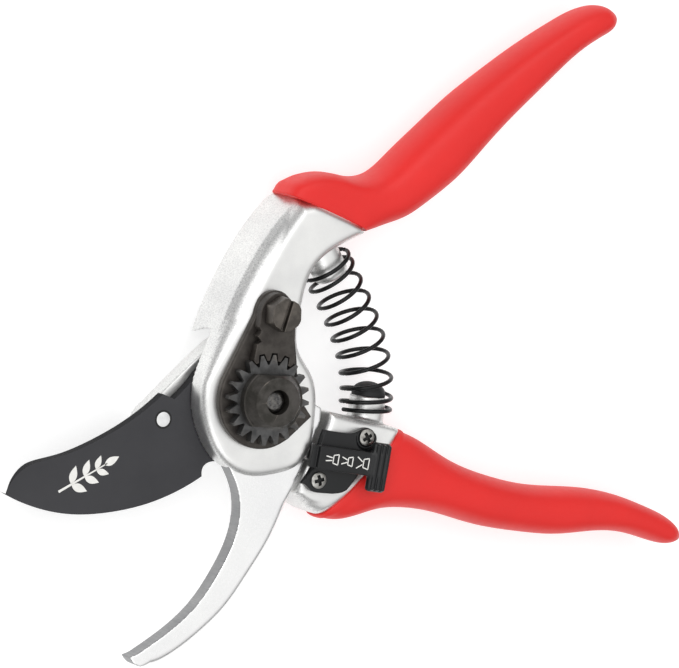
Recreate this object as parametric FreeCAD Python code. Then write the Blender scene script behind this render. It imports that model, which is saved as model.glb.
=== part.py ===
"""Bypass pruner lying on its back, wide open.

The tool's plane is XY, +Z is the axis of the pivot bolt towards its nut, and the origin is where that axis
meets the back of the bolt head. The hook points to -Y, the blade to -X and the two grips to +X. All in mm.
"""
import FreeCAD
import Part
import math
import os

V = FreeCAD.Vector
UP = V(0, 0, 1)
os.makedirs("parts", exist_ok=True)

# ---------------------------------------------------------------- driving dimensions
HEAD_TOP = 2.5            # the bolt head is the lowest thing, from z 0 up to here
REAR_BOTTOM = 2.6         # back face of the lower handle's hub
REAR_TOP = 8.9            # the lower hub ends here, under the blade
BLADE_BOTTOM = 9.0
BLADE_TOP = 11.9
HOOK_BOTTOM = 12.0        # the steel hook slides on the blade
HOOK_TOP = 17.0
HUB_TOP = 19.0            # front face of the upper hub
PLATE_TOP = 21.0
GEAR_TOP = 23.5           # toothed nut and lock segment have the same height
COLLAR_TOP = 25.5
NUT_TOP = 28.0
ARM_BOTTOM = 3.0          # the upper arm is thicker than its hub
LATCH_FACE = 17.5         # front face of the lower handle
LATCH_BASE_TOP = 19.5

BOLT_RADIUS = 4.95
BORE_RADIUS = 5.0
TURNING_RADIUS = 20.2     # the thick parts of both arms keep outside this circle
MID_HEIGHT = 9.5          # middle of both grips, pegs and the spring

NUT_TEETH = 20
NUT_TIP_RADIUS = 11.5
NUT_ROOT_RADIUS = 9.0
NUT_PHASE = 12.0          # degrees, one tooth's direction
MESH_GAP = 0.35

SEGMENT_SCREW = (2.2, 21.8)
BLADE_RIVET = (-23.8, -5.4)
HOOK_RIVETS = [(-7.5, -8.5), (9.5, -8.0)]

LOWER_PEG = (36.3, -8.0)
LOWER_PEG_ANGLE = 83.0
LOWER_PEG_LENGTH = 6.0
LOWER_PEG_RADIUS = 4.7
UPPER_PEG = (20.8, 36.8)
UPPER_PEG_ANGLE = -60.0
UPPER_PEG_LENGTH = 8.9
UPPER_PEG_RADIUS = 4.7

WIRE_RADIUS = 0.55
COIL_RADIUS = 6.5         # to the middle of the wire
COIL_TURNS = 10

SLIDE_ANGLE = -9.5        # the latch slider's way, degrees from +X
SLIDE_ORIGIN = (22.0, -16.4)
SLIDE_TRAVEL = 5.5


# ---------------------------------------------------------------- helpers
def outline(*runs):
    """Closed wire from runs of (x, y) points: two points make a line, more make a smooth curve."""
    edges = []
    for run in runs:
        points = [V(x, y, 0) for x, y in run]
        if len(points) == 2:
            edges.append(Part.LineSegment(*points).toShape())
        else:
            curve = Part.BSplineCurve()
            curve.interpolate(points)
            edges.append(curve.toShape())
    return Part.Wire(edges)


def slab(wire, low, high):
    """Solid with the wire's outline between two heights."""
    solid = Part.Face(wire).extrude(V(0, 0, high - low))
    solid.translate(V(0, 0, low))
    return solid


def polygon(points, low, high):
    """Solid with a straight-sided outline between two heights."""
    corners = [V(x, y, 0) for x, y in points]
    return slab(Part.makePolygon(corners + corners[:1]), low, high)


def disc(radius, low, high, centre=(0.0, 0.0)):
    """Upright cylinder."""
    return Part.makeCylinder(radius, high - low, V(centre[0], centre[1], low), UP)


def polar(radius, degrees):
    """Point (x, y) at a radius and a direction about the pivot."""
    return (radius * math.cos(math.radians(degrees)), radius * math.sin(math.radians(degrees)))


def arc_points(radius, start, end, count):
    """Evenly spread points on an arc about the pivot."""
    return [polar(radius, start + (end - start) * i / (count - 1)) for i in range(count)]


def along_slide(s, t):
    """Point (x, y) from the slide's own coordinates: s along its way, t across it."""
    c, n = math.cos(math.radians(SLIDE_ANGLE)), math.sin(math.radians(SLIDE_ANGLE))
    return (SLIDE_ORIGIN[0] + s * c - t * n, SLIDE_ORIGIN[1] + s * n + t * c)


def slide_block(s0, s1, t0, t1, low, high):
    """Box whose sides lie along and across the slide."""
    corners = [(s0, t0), (s1, t0), (s1, t1), (s0, t1)]
    return polygon([along_slide(s, t) for s, t in corners], low, high)


def soften(solid, radius, wanted):
    """Round the edges for which wanted(edge) is true."""
    return solid.makeFillet(radius, [edge for edge in solid.Edges if wanted(edge)])


def level(edge, height):
    """True for an edge that lies at one height."""
    box = edge.BoundBox
    return abs(box.ZMin - height) < 0.01 and abs(box.ZMax - height) < 0.01


def save(name, solid):
    """Write one sub-part and say how large it is."""
    solid.exportStep("parts/" + name + ".step")
    box = solid.BoundBox
    print("%-20s %9.1f mm3  solids %d  valid %s  z %.2f..%.2f" % (
        name, solid.Volume, len(solid.Solids), solid.isValid(), box.ZMin, box.ZMax))


# ---------------------------------------------------------------- grips
def grip_section(upper, lower, half_height, squash=1.0):
    """Oval across the grip, from a point of its outer edge to the one opposite."""
    middle = V((upper[0] + lower[0]) / 2, (upper[1] + lower[1]) / 2, MID_HEIGHT)
    across = V(upper[0] - middle.x, upper[1] - middle.y, 0) * squash
    rise = UP * (half_height * squash)
    points = []
    for step in range(16):
        turn = 2 * math.pi * step / 16
        points.append(middle + across * math.cos(turn) + rise * math.sin(turn))
    curve = Part.BSplineCurve()
    curve.interpolate(Points=points, PeriodicFlag=True)
    return Part.Wire(curve.toShape())


def grip_body(stations, squash=1.0):
    """Solid through a row of ovals, each given as outer point, inner point and half height."""
    return Part.makeLoft([grip_section(u, l, h, squash) for u, l, h in stations], True, False)


UPPER_GRIP = [
    ((7.9, 50.5), (29.5, 41.55), 8.6),
    ((10.8, 53.7), (30.9, 41.2), 8.8),
    ((15.4, 55.6), (32.5, 41.3), 8.9),
    ((21.0, 56.1), (35.0, 41.7), 9.0),
    ((27.4, 55.0), (39.0, 42.6), 9.08),
    ((34.6, 55.4), (44.0, 44.1), 9.2),
    ((42.4, 60.9), (50.9, 48.0), 9.22),
    ((50.8, 68.1), (59.4, 54.0), 9.2),
    ((59.6, 75.3), (67.4, 61.8), 9.1),
    ((68.6, 81.6), (75.2, 69.2), 8.7),
    ((79.7, 88.7), (85.9, 78.4), 8.2),
    ((91.6, 95.3), (96.6, 87.0), 7.6),
    ((100.2, 98.9), (103.9, 91.0), 6.8),
    ((104.4, 98.9), (106.6, 92.6), 5.4),
    ((107.2, 97.4), (108.3, 94.2), 2.8),
]
LOWER_GRIP = [
    ((44.4, -10.4), (19.6, -31.4), 8.0),
    ((49.4, -12.9), (27.4, -33.5), 8.6),
    ((54.2, -15.5), (36.6, -31.8), 9.0),
    ((60.0, -19.0), (45.6, -31.4), 9.23),
    ((66.6, -22.1), (56.4, -33.2), 9.1),
    ((75.2, -25.0), (69.4, -37.1), 8.9),
    ((84.4, -27.3), (81.8, -39.6), 8.5),
    ((93.8, -28.5), (93.6, -41.1), 8.2),
    ((105.0, -29.6), (103.6, -41.0), 7.9),
    ((115.0, -31.9), (112.0, -41.2), 7.6),
    ((124.0, -35.3), (120.2, -42.9), 7.0),
    ((130.6, -38.5), (127.2, -45.1), 6.2),
    ((134.0, -41.4), (131.6, -45.7), 4.6),
    ((135.4, -43.4), (134.4, -45.3), 2.2),
]
CORE_SQUASH = 0.62


def grip_core(stations, first):
    """The handle's own bar inside the grip; it starts at first, inside the arm."""
    return grip_body([first] + stations[1:-5], CORE_SQUASH)


def grip_sleeve(stations, core):
    """The dipped coat around the bar."""
    return grip_body(stations).cut(core)


upper_core = grip_core(UPPER_GRIP, ((6.6, 47.2), (26.5, 37.5), 8.2))
lower_core = grip_core(LOWER_GRIP, ((39.5, -8.5), (15.5, -29.5), 8.0))
save("upper_grip", grip_sleeve(UPPER_GRIP, upper_core))
save("lower_grip", grip_sleeve(LOWER_GRIP, lower_core))


# ---------------------------------------------------------------- steel hook
hook_wire = outline(
    [(-7.3, -17.8), (-5.0, -22.4), (-3.9, -28.4), (-5.4, -36.5), (-9.4, -44.2), (-15.4, -52.2), (-23.6, -58.8),
     (-32.2, -63.8)],
    [(-32.2, -63.8), (-34.2, -64.4)],
    [(-34.2, -64.4), (-32.6, -66.3), (-28.6, -67.1), (-22.3, -65.1), (-13.9, -59.8), (-6.8, -53.8), (0.0, -45.2),
     (5.6, -37.0), (9.6, -28.6), (13.7, -18.6)],
    [(13.7, -18.6), (17.0, -11.7)],
    [(17.0, -11.7), (18.8, -6.6)],
    [(18.8, -6.6), (18.9, -3.6)],
    [(18.9, -3.6), (17.1, -2.6)],
    [(17.1, -2.6)] + arc_points(14.5, 10, 225, 10) + [(-7.3, -17.8)],
)
tongue_notch = slide_block(-10.6, 2.0, -1.3, 2.5, HOOK_BOTTOM - 1, HOOK_TOP + 1)
hook = slab(hook_wire, HOOK_BOTTOM, HOOK_TOP).cut(tongue_notch)
hook = hook.cut(disc(BORE_RADIUS, HOOK_BOTTOM - 1, HOOK_TOP + 1))
RIVET_RADIUS = 1.8
rivet_holes = [disc(RIVET_RADIUS, HOOK_BOTTOM - 1, HUB_TOP - 1, spot) for spot in HOOK_RIVETS]
hook = hook.cut(rivet_holes)
save("hook_blade", hook)
for number, spot in enumerate(HOOK_RIVETS, 1):
    save("hook_rivet_%d" % number, disc(RIVET_RADIUS, HOOK_BOTTOM + 0.1, HUB_TOP - 1, spot))

# ---------------------------------------------------------------- upper handle
hub_and_arm = outline(
    [(-13.2, 14.6), (-15.5, 6.8), (-16.4, 0.0), (-14.8, -8.0), (-9.4, -16.4), (-3.0, -19.9), (5.6, -20.0),
     (12.4, -17.9), (14.9, -15.2), (16.4, -10.6), (17.0, -4.5), (15.8, 4.6), (11.2, 12.4), (11.0, 18.1),
     (12.3, 24.6), (13.8, 29.8), (16.6, 33.9), (22.3, 37.7), (27.6, 40.2)],
    [(27.6, 40.2), (29.3, 41.5)],
    [(29.3, 41.5), (8.6, 50.0)],
    [(8.6, 50.0), (6.2, 48.0), (-0.6, 39.9), (-7.4, 28.6), (-12.0, 18.2), (-13.2, 14.6)],
)
front = slab(hub_and_arm, HOOK_BOTTOM, HUB_TOP)
front = soften(front, 2.6, lambda edge: level(edge, HUB_TOP) and edge.Length > 25)
rear = slab(hub_and_arm, ARM_BOTTOM, HOOK_BOTTOM)
rear = soften(rear, 2.0, lambda edge: level(edge, ARM_BOTTOM) and edge.Length > 25)
below = polygon([(-40, 14.9), (11.0, 14.9), (40, 25), (40, -40), (-40, -40)], ARM_BOTTOM - 1, HOOK_BOTTOM)
rear = rear.cut([disc(TURNING_RADIUS, ARM_BOTTOM - 1, HOOK_BOTTOM), below])
root_pocket = slab(hook_wire, HOOK_BOTTOM - 1, HOOK_TOP)
clearing = polygon([polar(17.4, a) for a in (14, 0, -20, -40, -62)] + [polar(34, a) for a in (-62, -25, 14)],
                   HOOK_BOTTOM - 1, HOOK_TOP)
front = front.cut([root_pocket, clearing])
upper_handle = front.fuse(rear).fuse(upper_core)
peg_way = V(*polar(1, UPPER_PEG_ANGLE), 0)
peg_start = V(UPPER_PEG[0], UPPER_PEG[1], MID_HEIGHT)
upper_peg = Part.makeCylinder(UPPER_PEG_RADIUS, UPPER_PEG_LENGTH, peg_start, peg_way)
upper_handle = upper_handle.fuse(upper_peg)
SCREW_RADIUS = 2.4
SCREW_DEPTH = 9.0
screw_hole = disc(SCREW_RADIUS, SCREW_DEPTH, HUB_TOP + 1, SEGMENT_SCREW)
upper_handle = upper_handle.cut([disc(BORE_RADIUS, 0, HUB_TOP + 1), screw_hole] + rivet_holes)
save("hook_arm_forging", upper_handle.removeSplitter())

# ---------------------------------------------------------------- lower handle
full_height = outline(
    [(18.4, -13.0), (20.9, -7.8), (21.7, -4.7)],
    [(21.7, -4.7), (26.0, -5.8), (31.0, -7.1), (37.0, -8.3), (44.4, -10.4)],
    [(44.4, -10.4), (19.6, -31.4)],
    [(19.6, -31.4), (14.8, -27.8), (12.2, -25.2)],
    [(12.2, -25.2), (14.9, -18.6)],
    [(14.9, -18.6), (18.4, -13.0)],
)
body = slab(full_height, REAR_BOTTOM, LATCH_FACE)
body = soften(body, 2.0, lambda edge: level(edge, REAR_BOTTOM) and edge.Length > 15 and edge.BoundBox.XMax > 30)
rear_arm = outline(
    [(-8.2, 13.4), (-17.3, 5.9), (-28.4, -4.2)],
    [(-28.4, -4.2), (-28.9, -5.6), (-27.4, -8.6), (-22.6, -11.0), (-15.0, -12.2), (-8.0, -15.4), (4.0, -17.0),
     (13.0, -20.8)],
    [(13.0, -20.8), (22.0, -15.0)],
    [(22.0, -15.0), (22.0, -9.0)],
    [(22.0, -9.0), (20.6, -4.4), (16.2, 3.8), (9.0, 13.6), (0.0, 16.4), (-8.2, 13.4)],
)
rear_hub = slab(rear_arm, REAR_BOTTOM, REAR_TOP)
rear_hub = soften(rear_hub, 1.2, lambda edge: level(edge, REAR_BOTTOM) and edge.Length > 30)
lower_handle = body.fuse(rear_hub).fuse(lower_core)
peg_way = V(*polar(1, LOWER_PEG_ANGLE), 0)
peg_start = V(LOWER_PEG[0], LOWER_PEG[1], MID_HEIGHT) - peg_way * 4
lower_handle = lower_handle.fuse(Part.makeCylinder(LOWER_PEG_RADIUS, LOWER_PEG_LENGTH + 4, peg_start, peg_way))
STEM_RADIUS = 2.0
STEM_LENGTH = 6.0
bumper_base = peg_start + peg_way * (LOWER_PEG_LENGTH + 4)
stem = Part.makeCylinder(STEM_RADIUS, STEM_LENGTH, bumper_base - peg_way * STEM_LENGTH, peg_way)
channel = slide_block(-10, 6.9, -1.3, 2.5, 13.2, LATCH_FACE + 1)
web_channel = slide_block(-10, 6.9, -1.9, 2.5, 16.3, LATCH_FACE + 1)
LATCH_SCREWS = [along_slide(8.0, 6.5), along_slide(-3.9, -6.0)]
LATCH_SCREW_RADIUS = 1.2
LATCH_SCREW_DEPTH = 12.0
latch_holes = [disc(LATCH_SCREW_RADIUS, LATCH_SCREW_DEPTH, LATCH_BASE_TOP + 1, spot) for spot in LATCH_SCREWS]
BLADE_RIVET_RADIUS = 2.15
blade_rivet_hole = disc(BLADE_RIVET_RADIUS, 0, BLADE_TOP + 1, BLADE_RIVET)
lower_handle = lower_handle.cut([disc(BORE_RADIUS, 0, HUB_TOP), stem, channel, web_channel, blade_rivet_hole])
lower_handle = lower_handle.cut(latch_holes)
save("blade_arm_forging", lower_handle.removeSplitter())

# ---------------------------------------------------------------- cutting blade and its rivet
blade_wire = outline(
    [(-14.5, 5.9), (-17.8, 2.2), (-20.8, -0.4)],
    [(-20.8, -0.4), (-24.0, 1.0)],
    [(-24.0, 1.0), (-31.7, -4.6), (-42.8, -10.2), (-53.8, -13.7), (-61.0, -15.4), (-65.4, -18.9), (-67.0, -22.1)],
    [(-67.0, -22.1), (-68.5, -21.5)],
    [(-68.5, -21.5), (-60.4, -25.4), (-49.4, -28.1), (-38.2, -28.2), (-27.0, -26.4), (-19.0, -23.7), (-12.4, -20.4)],
    [(-12.4, -20.4), (-12.0, -17.9), (-9.4, -16.7)],
    [(-9.4, -16.7), (-7.1, -16.7)],
    [(-7.1, -16.7)] + arc_points(14.6, -70, 142, 10) + [(-14.5, 5.9)],
)
blade = slab(blade_wire, BLADE_BOTTOM, BLADE_TOP)
EDGE_THICKNESS = 0.4
EDGE_WIDTH = 8.0
bevel_rise = BLADE_TOP - EDGE_THICKNESS - BLADE_BOTTOM
bevel = Part.makeCylinder(44.0, 1.0, V(-42.0, 15.6, BLADE_BOTTOM - 1), UP)
bevel_cone = Part.makeCone(44.0 - EDGE_WIDTH, 44.0, bevel_rise, V(-42.0, 15.6, BLADE_BOTTOM), UP)
bevel_zone = polygon([(-80, -12), (-12.6, -12), (-12.6, -40), (-80, -40)], BLADE_BOTTOM - 1, BLADE_TOP)
bevel_solid = bevel_zone.cut(bevel_cone.fuse(bevel))
ground = bevel_solid.common(disc(36.0, BLADE_BOTTOM - 1, BLADE_TOP, (-42.0, 15.6)).fuse(bevel_zone))
ground = ground.common(slab(blade_wire, BLADE_BOTTOM - 1, BLADE_TOP - EDGE_THICKNESS))
blade = blade.cut(ground)
blade = blade.cut([disc(BORE_RADIUS, 0, HUB_TOP), blade_rivet_hole])
save("cutting_blade", blade.removeSplitter())
RIVET_HEAD_RADIUS = 3.4
RIVET_HEAD_HEIGHT = 1.0
rivet = disc(BLADE_RIVET_RADIUS, REAR_BOTTOM - RIVET_HEAD_HEIGHT, BLADE_TOP, BLADE_RIVET)
rivet = rivet.fuse(disc(RIVET_HEAD_RADIUS, REAR_BOTTOM - RIVET_HEAD_HEIGHT, REAR_BOTTOM, BLADE_RIVET))
save("blade_rivet", rivet.removeSplitter())

# ---------------------------------------------------------------- pivot bolt, toothed nut, plate, segment
HEAD_RADIUS = 8.5
THREAD_RADIUS = 3.1
bolt = soften(disc(HEAD_RADIUS, 0, HEAD_TOP), 0.6, lambda edge: level(edge, 0))
bolt = bolt.fuse(disc(BOLT_RADIUS, HEAD_TOP, PLATE_TOP - 0.5))
bolt_end = disc(THREAD_RADIUS, PLATE_TOP - 0.5, 26.6)
bolt = bolt.fuse(soften(bolt_end, 1.6, lambda edge: level(edge, 26.6)))
save("pivot_bolt", bolt.removeSplitter())


def gear_points(growth):
    """Pointed teeth round the nut, made larger all round by growth."""
    points = []
    pitch = 360.0 / NUT_TEETH
    for tooth in range(NUT_TEETH):
        middle = NUT_PHASE + pitch * tooth
        wide = math.degrees(growth / NUT_TIP_RADIUS)
        points.append(polar(NUT_ROOT_RADIUS + growth, middle - 0.43 * pitch))
        points.append(polar(NUT_TIP_RADIUS + growth, middle - 0.11 * pitch - wide))
        points.append(polar(NUT_TIP_RADIUS + growth, middle + 0.11 * pitch + wide))
        points.append(polar(NUT_ROOT_RADIUS + growth, middle + 0.43 * pitch))
    return points


COLLAR_RADIUS = 8.4
FLAT_HALF = 6.6
gear = polygon(gear_points(0.0), PLATE_TOP, GEAR_TOP)
collar = disc(COLLAR_RADIUS, GEAR_TOP, COLLAR_TOP)
cone = Part.makeCone(COLLAR_RADIUS - 0.4, 6.2, NUT_TOP - COLLAR_TOP, V(0, 0, COLLAR_TOP), UP)
flats = Part.makeBox(30, 2 * FLAT_HALF, 10, V(-15, -FLAT_HALF, GEAR_TOP))
flats.rotate(V(0, 0, 0), UP, -4)
nut = gear.fuse(collar.fuse(cone).common(flats)).cut(disc(THREAD_RADIUS + 0.05, PLATE_TOP - 1, NUT_TOP + 1))
save("pivot_nut", nut.removeSplitter())

PLATE_RADIUS = 12.8
TOP_ROUND = 5.3
plate_wire = outline(
    arc_points(PLATE_RADIUS, 156, 330, 9) + [(13.9, -5.1)],
    [(13.9, -5.1), (9.8, 0.5)],
    [(9.8, 0.5), (9.2, 9.0)],
    [(9.2, 9.0), (7.5, 22.0)],
    [(7.5, 22.0), (6.0, 25.9), (2.2, 27.4), (-1.4, 25.8), (-3.2, 21.4)],
    [(-3.2, 21.4), polar(PLATE_RADIUS, 156)],
)
plate = slab(plate_wire, HUB_TOP, PLATE_TOP)
plate_screw_hole = disc(SCREW_RADIUS, HUB_TOP - 1, GEAR_TOP + 1, SEGMENT_SCREW)
plate = plate.cut([disc(BORE_RADIUS, HUB_TOP - 1, GEAR_TOP), plate_screw_hole])
save("nut_plate", plate)

segment_wire = outline(
    [(6.9, 21.0), (6.9, 7.2)],
    [(6.9, 7.2), (0.6, 9.9), (-5.0, 8.7)],
    [(-5.0, 8.7), (-3.9, 14.2)],
    [(-3.9, 14.2), (-2.6, 14.9)],
    [(-2.6, 14.9), (-3.8, 16.2)],
    [(-3.8, 16.2), (-2.7, 17.4)],
    [(-2.7, 17.4), (-3.6, 18.6)],
    [(-3.6, 18.6), (-3.1, 21.4)],
    [(-3.1, 21.4), (-1.6, 25.2), (2.0, 27.0), (5.6, 25.0), (6.9, 21.0)],
)
segment = slab(segment_wire, PLATE_TOP, GEAR_TOP).cut(polygon(gear_points(MESH_GAP), PLATE_TOP - 1, GEAR_TOP + 1))
segment = segment.cut(plate_screw_hole)
segment = max(segment.Solids, key=lambda piece: piece.Volume)
save("lock_segment", segment)

HEX_FLAT_HALF = 4.0
hexagon = [polar(HEX_FLAT_HALF / math.cos(math.radians(30)), 60 * corner + 30) for corner in range(6)]
screw_head = polygon(hexagon, GEAR_TOP, 27.6)
slot = Part.makeBox(1.1, 20, 2.0, V(-0.55, -10, 26.2))
slot.rotate(V(0, 0, 0), UP, -18)
screw_head = screw_head.cut(slot)
screw_head = screw_head.common(Part.makeCone(4.7, 4.2, 4.1, V(0, 0, GEAR_TOP), UP))
screw_head.translate(V(SEGMENT_SCREW[0], SEGMENT_SCREW[1], 0))
segment_screw = screw_head.fuse(disc(SCREW_RADIUS, SCREW_DEPTH + 0.5, GEAR_TOP, SEGMENT_SCREW))
save("segment_screw", segment_screw.removeSplitter())

# ---------------------------------------------------------------- bumper
FLANGE_RADIUS = 4.4
FLANGE_HEIGHT = 0.8
DOME_HEIGHT = 3.0
dome_sphere = (FLANGE_RADIUS ** 2 + DOME_HEIGHT ** 2) / (2 * DOME_HEIGHT)
bumper = Part.makeCylinder(FLANGE_RADIUS, FLANGE_HEIGHT, bumper_base, peg_way)
ball_centre = bumper_base + peg_way * (FLANGE_HEIGHT + DOME_HEIGHT - dome_sphere)
dome = Part.makeSphere(dome_sphere, ball_centre)
keep = Part.makeCylinder(FLANGE_RADIUS, DOME_HEIGHT + 1, bumper_base + peg_way * FLANGE_HEIGHT, peg_way)
bumper = bumper.fuse(dome.common(keep)).fuse(stem)
save("bumper", bumper.removeSplitter())

# ---------------------------------------------------------------- return spring
spring_axis = Part.BSplineCurve()
SPRING_ROUTE = [(36.2, -5.9), (36.5, -0.4), (35.2, 8.0), (31.9, 16.8), (27.2, 25.6), (22.4, 33.7)]
spring_axis.interpolate([V(x, y, MID_HEIGHT) for x, y in SPRING_ROUTE])
SPRING_TURNS = (0.0, 1.1, 2.2, 8.4, 10.0)     # close-wound at the lower end and a little at the upper one
SPRING_SHARES = (0.0, 0.055, 0.165, 0.91, 1.0)


def spring_point(turns):
    """Point of the wire's centre after so many turns."""
    knot = 0
    while knot < len(SPRING_TURNS) - 2 and turns > SPRING_TURNS[knot + 1]:
        knot += 1
    done = (turns - SPRING_TURNS[knot]) / (SPRING_TURNS[knot + 1] - SPRING_TURNS[knot])
    share = SPRING_SHARES[knot] + (SPRING_SHARES[knot + 1] - SPRING_SHARES[knot]) * done
    share = min(max(share, 0.0), 1.0)
    first, last = spring_axis.FirstParameter, spring_axis.LastParameter
    place = spring_axis.value(first + (last - first) * share)
    ahead = spring_axis.tangent(first + (last - first) * share)[0]
    side = UP.cross(ahead).normalize()
    turn = 2 * math.pi * turns
    return place + side * (COIL_RADIUS * math.cos(turn)) + UP * (COIL_RADIUS * math.sin(turn))


SECTIONS_PER_TURN = 16


def wire_section(turns):
    """Ten-sided section across the wire, in the plane of the coil's axis and its radius."""
    centre = spring_point(turns)
    way = (spring_point(turns + 0.01) - spring_point(turns - 0.01)).normalize()
    outward = (centre - spring_point(turns + 0.5)).normalize()
    across = way.cross(outward).normalize()
    outward = across.cross(way).normalize()
    corners = []
    for step in range(11):
        turn = 2 * math.pi * step / 10
        corners.append(centre + (outward * math.cos(turn) + across * math.sin(turn)) * WIRE_RADIUS)
    return Part.makePolygon(corners)


sections = [wire_section(i / SECTIONS_PER_TURN) for i in range(COIL_TURNS * SECTIONS_PER_TURN + 1)]
spring = Part.makeLoft(sections, True, True)
save("return_spring", spring)

# ---------------------------------------------------------------- latch
base_wire = outline(
    [(17.4, -13.0), (19.0, -8.8)],
    [(19.0, -8.8), (24.6, -9.9), (28.4, -9.8), (31.4, -8.9), (34.0, -11.2), (33.6, -14.4), (31.2, -17.6)],
    [(31.2, -17.6), (28.6, -21.7)],
    [(28.6, -21.7), (26.9, -23.6), (25.6, -24.9), (23.9, -25.4), (21.6, -25.5)],
    [(21.6, -25.5), (17.3, -25.0)],
    [(17.3, -25.0), (15.2, -24.3), (13.9, -23.0), (12.8, -22.4)],
    [(12.8, -22.4), (15.8, -18.4)],
    [(15.8, -18.4), (17.4, -13.0)],
)
latch_base = slab(base_wire, LATCH_FACE, LATCH_BASE_TOP)
RAIL_TOP = 20.4
upper_rail = slide_block(-4.5, 5.6, 3.4, 4.2, LATCH_BASE_TOP, RAIL_TOP)
lower_rail = slide_block(-1.4, 6.5, -4.2, -3.4, LATCH_BASE_TOP, RAIL_TOP)
latch_base = latch_base.fuse([upper_rail, lower_rail])
DETENT_SPOT = along_slide(7.8, 0.0)
DETENT_RADIUS = 0.9
detent_hole = disc(DETENT_RADIUS + 0.05, LATCH_FACE - 1, LATCH_BASE_TOP + 1, DETENT_SPOT)
web_slot = slide_block(-8, 6.6, -1.9, 2.5, LATCH_FACE - 1, LATCH_BASE_TOP + 0.5)
latch_base = latch_base.cut([web_slot, detent_hole] + latch_holes)
save("latch_base", latch_base.removeSplitter())
detent = disc(DETENT_RADIUS, LATCH_FACE, LATCH_BASE_TOP - DETENT_RADIUS, DETENT_SPOT)
detent_ball = Part.makeSphere(DETENT_RADIUS, V(DETENT_SPOT[0], DETENT_SPOT[1], LATCH_BASE_TOP - DETENT_RADIUS))
save("latch_detent", detent.fuse(detent_ball).removeSplitter())

SCREW_HEAD_RADIUS = 2.2
SCREW_HEAD_HEIGHT = 0.9
for number, spot in enumerate(LATCH_SCREWS, 1):
    screw = disc(SCREW_HEAD_RADIUS, LATCH_BASE_TOP, LATCH_BASE_TOP + SCREW_HEAD_HEIGHT, spot)
    screw = soften(screw, 0.4, lambda edge: level(edge, LATCH_BASE_TOP + SCREW_HEAD_HEIGHT))
    for turn in (20, 110):
        arm = Part.makeBox(2.6, 0.6, 1.0, V(-1.3, -0.3, LATCH_BASE_TOP + 0.35))
        arm.rotate(V(0, 0, 0), UP, turn)
        arm.translate(V(spot[0], spot[1], 0))
        screw = screw.cut(arm)
    screw = screw.fuse(disc(LATCH_SCREW_RADIUS, LATCH_SCREW_DEPTH + 0.3, LATCH_BASE_TOP, spot))
    save("latch_screw_%d" % number, screw.removeSplitter())

BAR_BOTTOM = 19.7
BAR_TOP = 22.3
WING_BOTTOM = 20.8
HEAD_FACE = 22.8
slider = slide_block(-8.0, 10.0, -3.05, 3.05, BAR_BOTTOM, BAR_TOP)
slider = slider.fuse(slide_block(9.0, 14.2, -3.05, 3.05, BAR_BOTTOM, HEAD_FACE))
slider = slider.fuse(slide_block(9.0, 14.2, -6.9, 5.8, WING_BOTTOM, HEAD_FACE))
slider = slider.fuse(slide_block(0.9, 6.2, -1.5, 2.1, 16.6, BAR_BOTTOM))
slider = slider.fuse(slide_block(-4.6, 6.2, -0.9, 2.1, 13.5, 16.6))
RIB_RADIUS = 0.65
for place in (10.0, 11.6, 13.2):
    low = along_slide(place, -6.9)
    way = V(*along_slide(place, 5.8), 0) - V(*low, 0)
    slider = slider.fuse(Part.makeCylinder(RIB_RADIUS, way.Length, V(low[0], low[1], HEAD_FACE), way))
save("latch_slider", slider.removeSplitter())
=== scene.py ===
"""Looks of a bypass pruner: aluminium castings, dipped grips, ground steel, coated blade, spring and latch.

Lengths in the classes are in millimetres, in the tool's own frame: the tool lies on its back in the XY plane
and the pivot's axis is +Z. Meshes are handed to Blender in metres.
"""
import logging
import math
from dataclasses import dataclass, field
from enum import Enum

import bmesh
import bpy
import numpy as np
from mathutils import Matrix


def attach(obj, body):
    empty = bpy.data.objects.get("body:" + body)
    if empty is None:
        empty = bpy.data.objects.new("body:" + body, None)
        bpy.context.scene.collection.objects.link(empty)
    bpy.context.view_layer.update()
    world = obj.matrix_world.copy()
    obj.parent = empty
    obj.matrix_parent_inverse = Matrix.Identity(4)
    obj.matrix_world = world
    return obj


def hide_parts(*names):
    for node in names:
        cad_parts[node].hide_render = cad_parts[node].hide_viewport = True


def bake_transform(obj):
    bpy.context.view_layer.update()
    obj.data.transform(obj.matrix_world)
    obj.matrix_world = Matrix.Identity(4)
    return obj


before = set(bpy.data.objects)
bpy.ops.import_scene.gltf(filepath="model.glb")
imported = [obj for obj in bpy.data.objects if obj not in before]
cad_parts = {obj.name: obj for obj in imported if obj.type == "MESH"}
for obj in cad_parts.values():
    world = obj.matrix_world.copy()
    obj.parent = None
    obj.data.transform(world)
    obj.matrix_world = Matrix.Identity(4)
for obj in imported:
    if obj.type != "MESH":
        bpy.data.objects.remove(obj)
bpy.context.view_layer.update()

import openvdb
from mathutils import Matrix, Vector

MM = 0.001
log = logging.getLogger("pruner")


class Body(Enum):
    """The moving bodies that pieces ride on."""

    HOOK_ARM = "hook_arm"
    BLADE_ARM = "blade_arm"
    SLIDER = "latch_slider"


# ------------------------------------------------------------------------------------ finishes
def linear(colour: str) -> tuple[float, float, float, float]:
    """Turns an sRGB hex colour into linear RGBA.

    Args:
        colour: six hex digits with a leading #.

    Returns:
        Linear red, green, blue and an alpha of 1.
    """
    parts = [int(colour[i:i + 2], 16) / 255 for i in (1, 3, 5)]
    red, green, blue = (p / 12.92 if p <= 0.04045 else ((p + 0.055) / 1.055) ** 2.4 for p in parts)
    return (red, green, blue, 1.0)


def per_mm(size: float) -> float:
    """Scale of a texture in metres whose feature is size millimetres wide."""
    return 1.0 / (size * MM)


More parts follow.
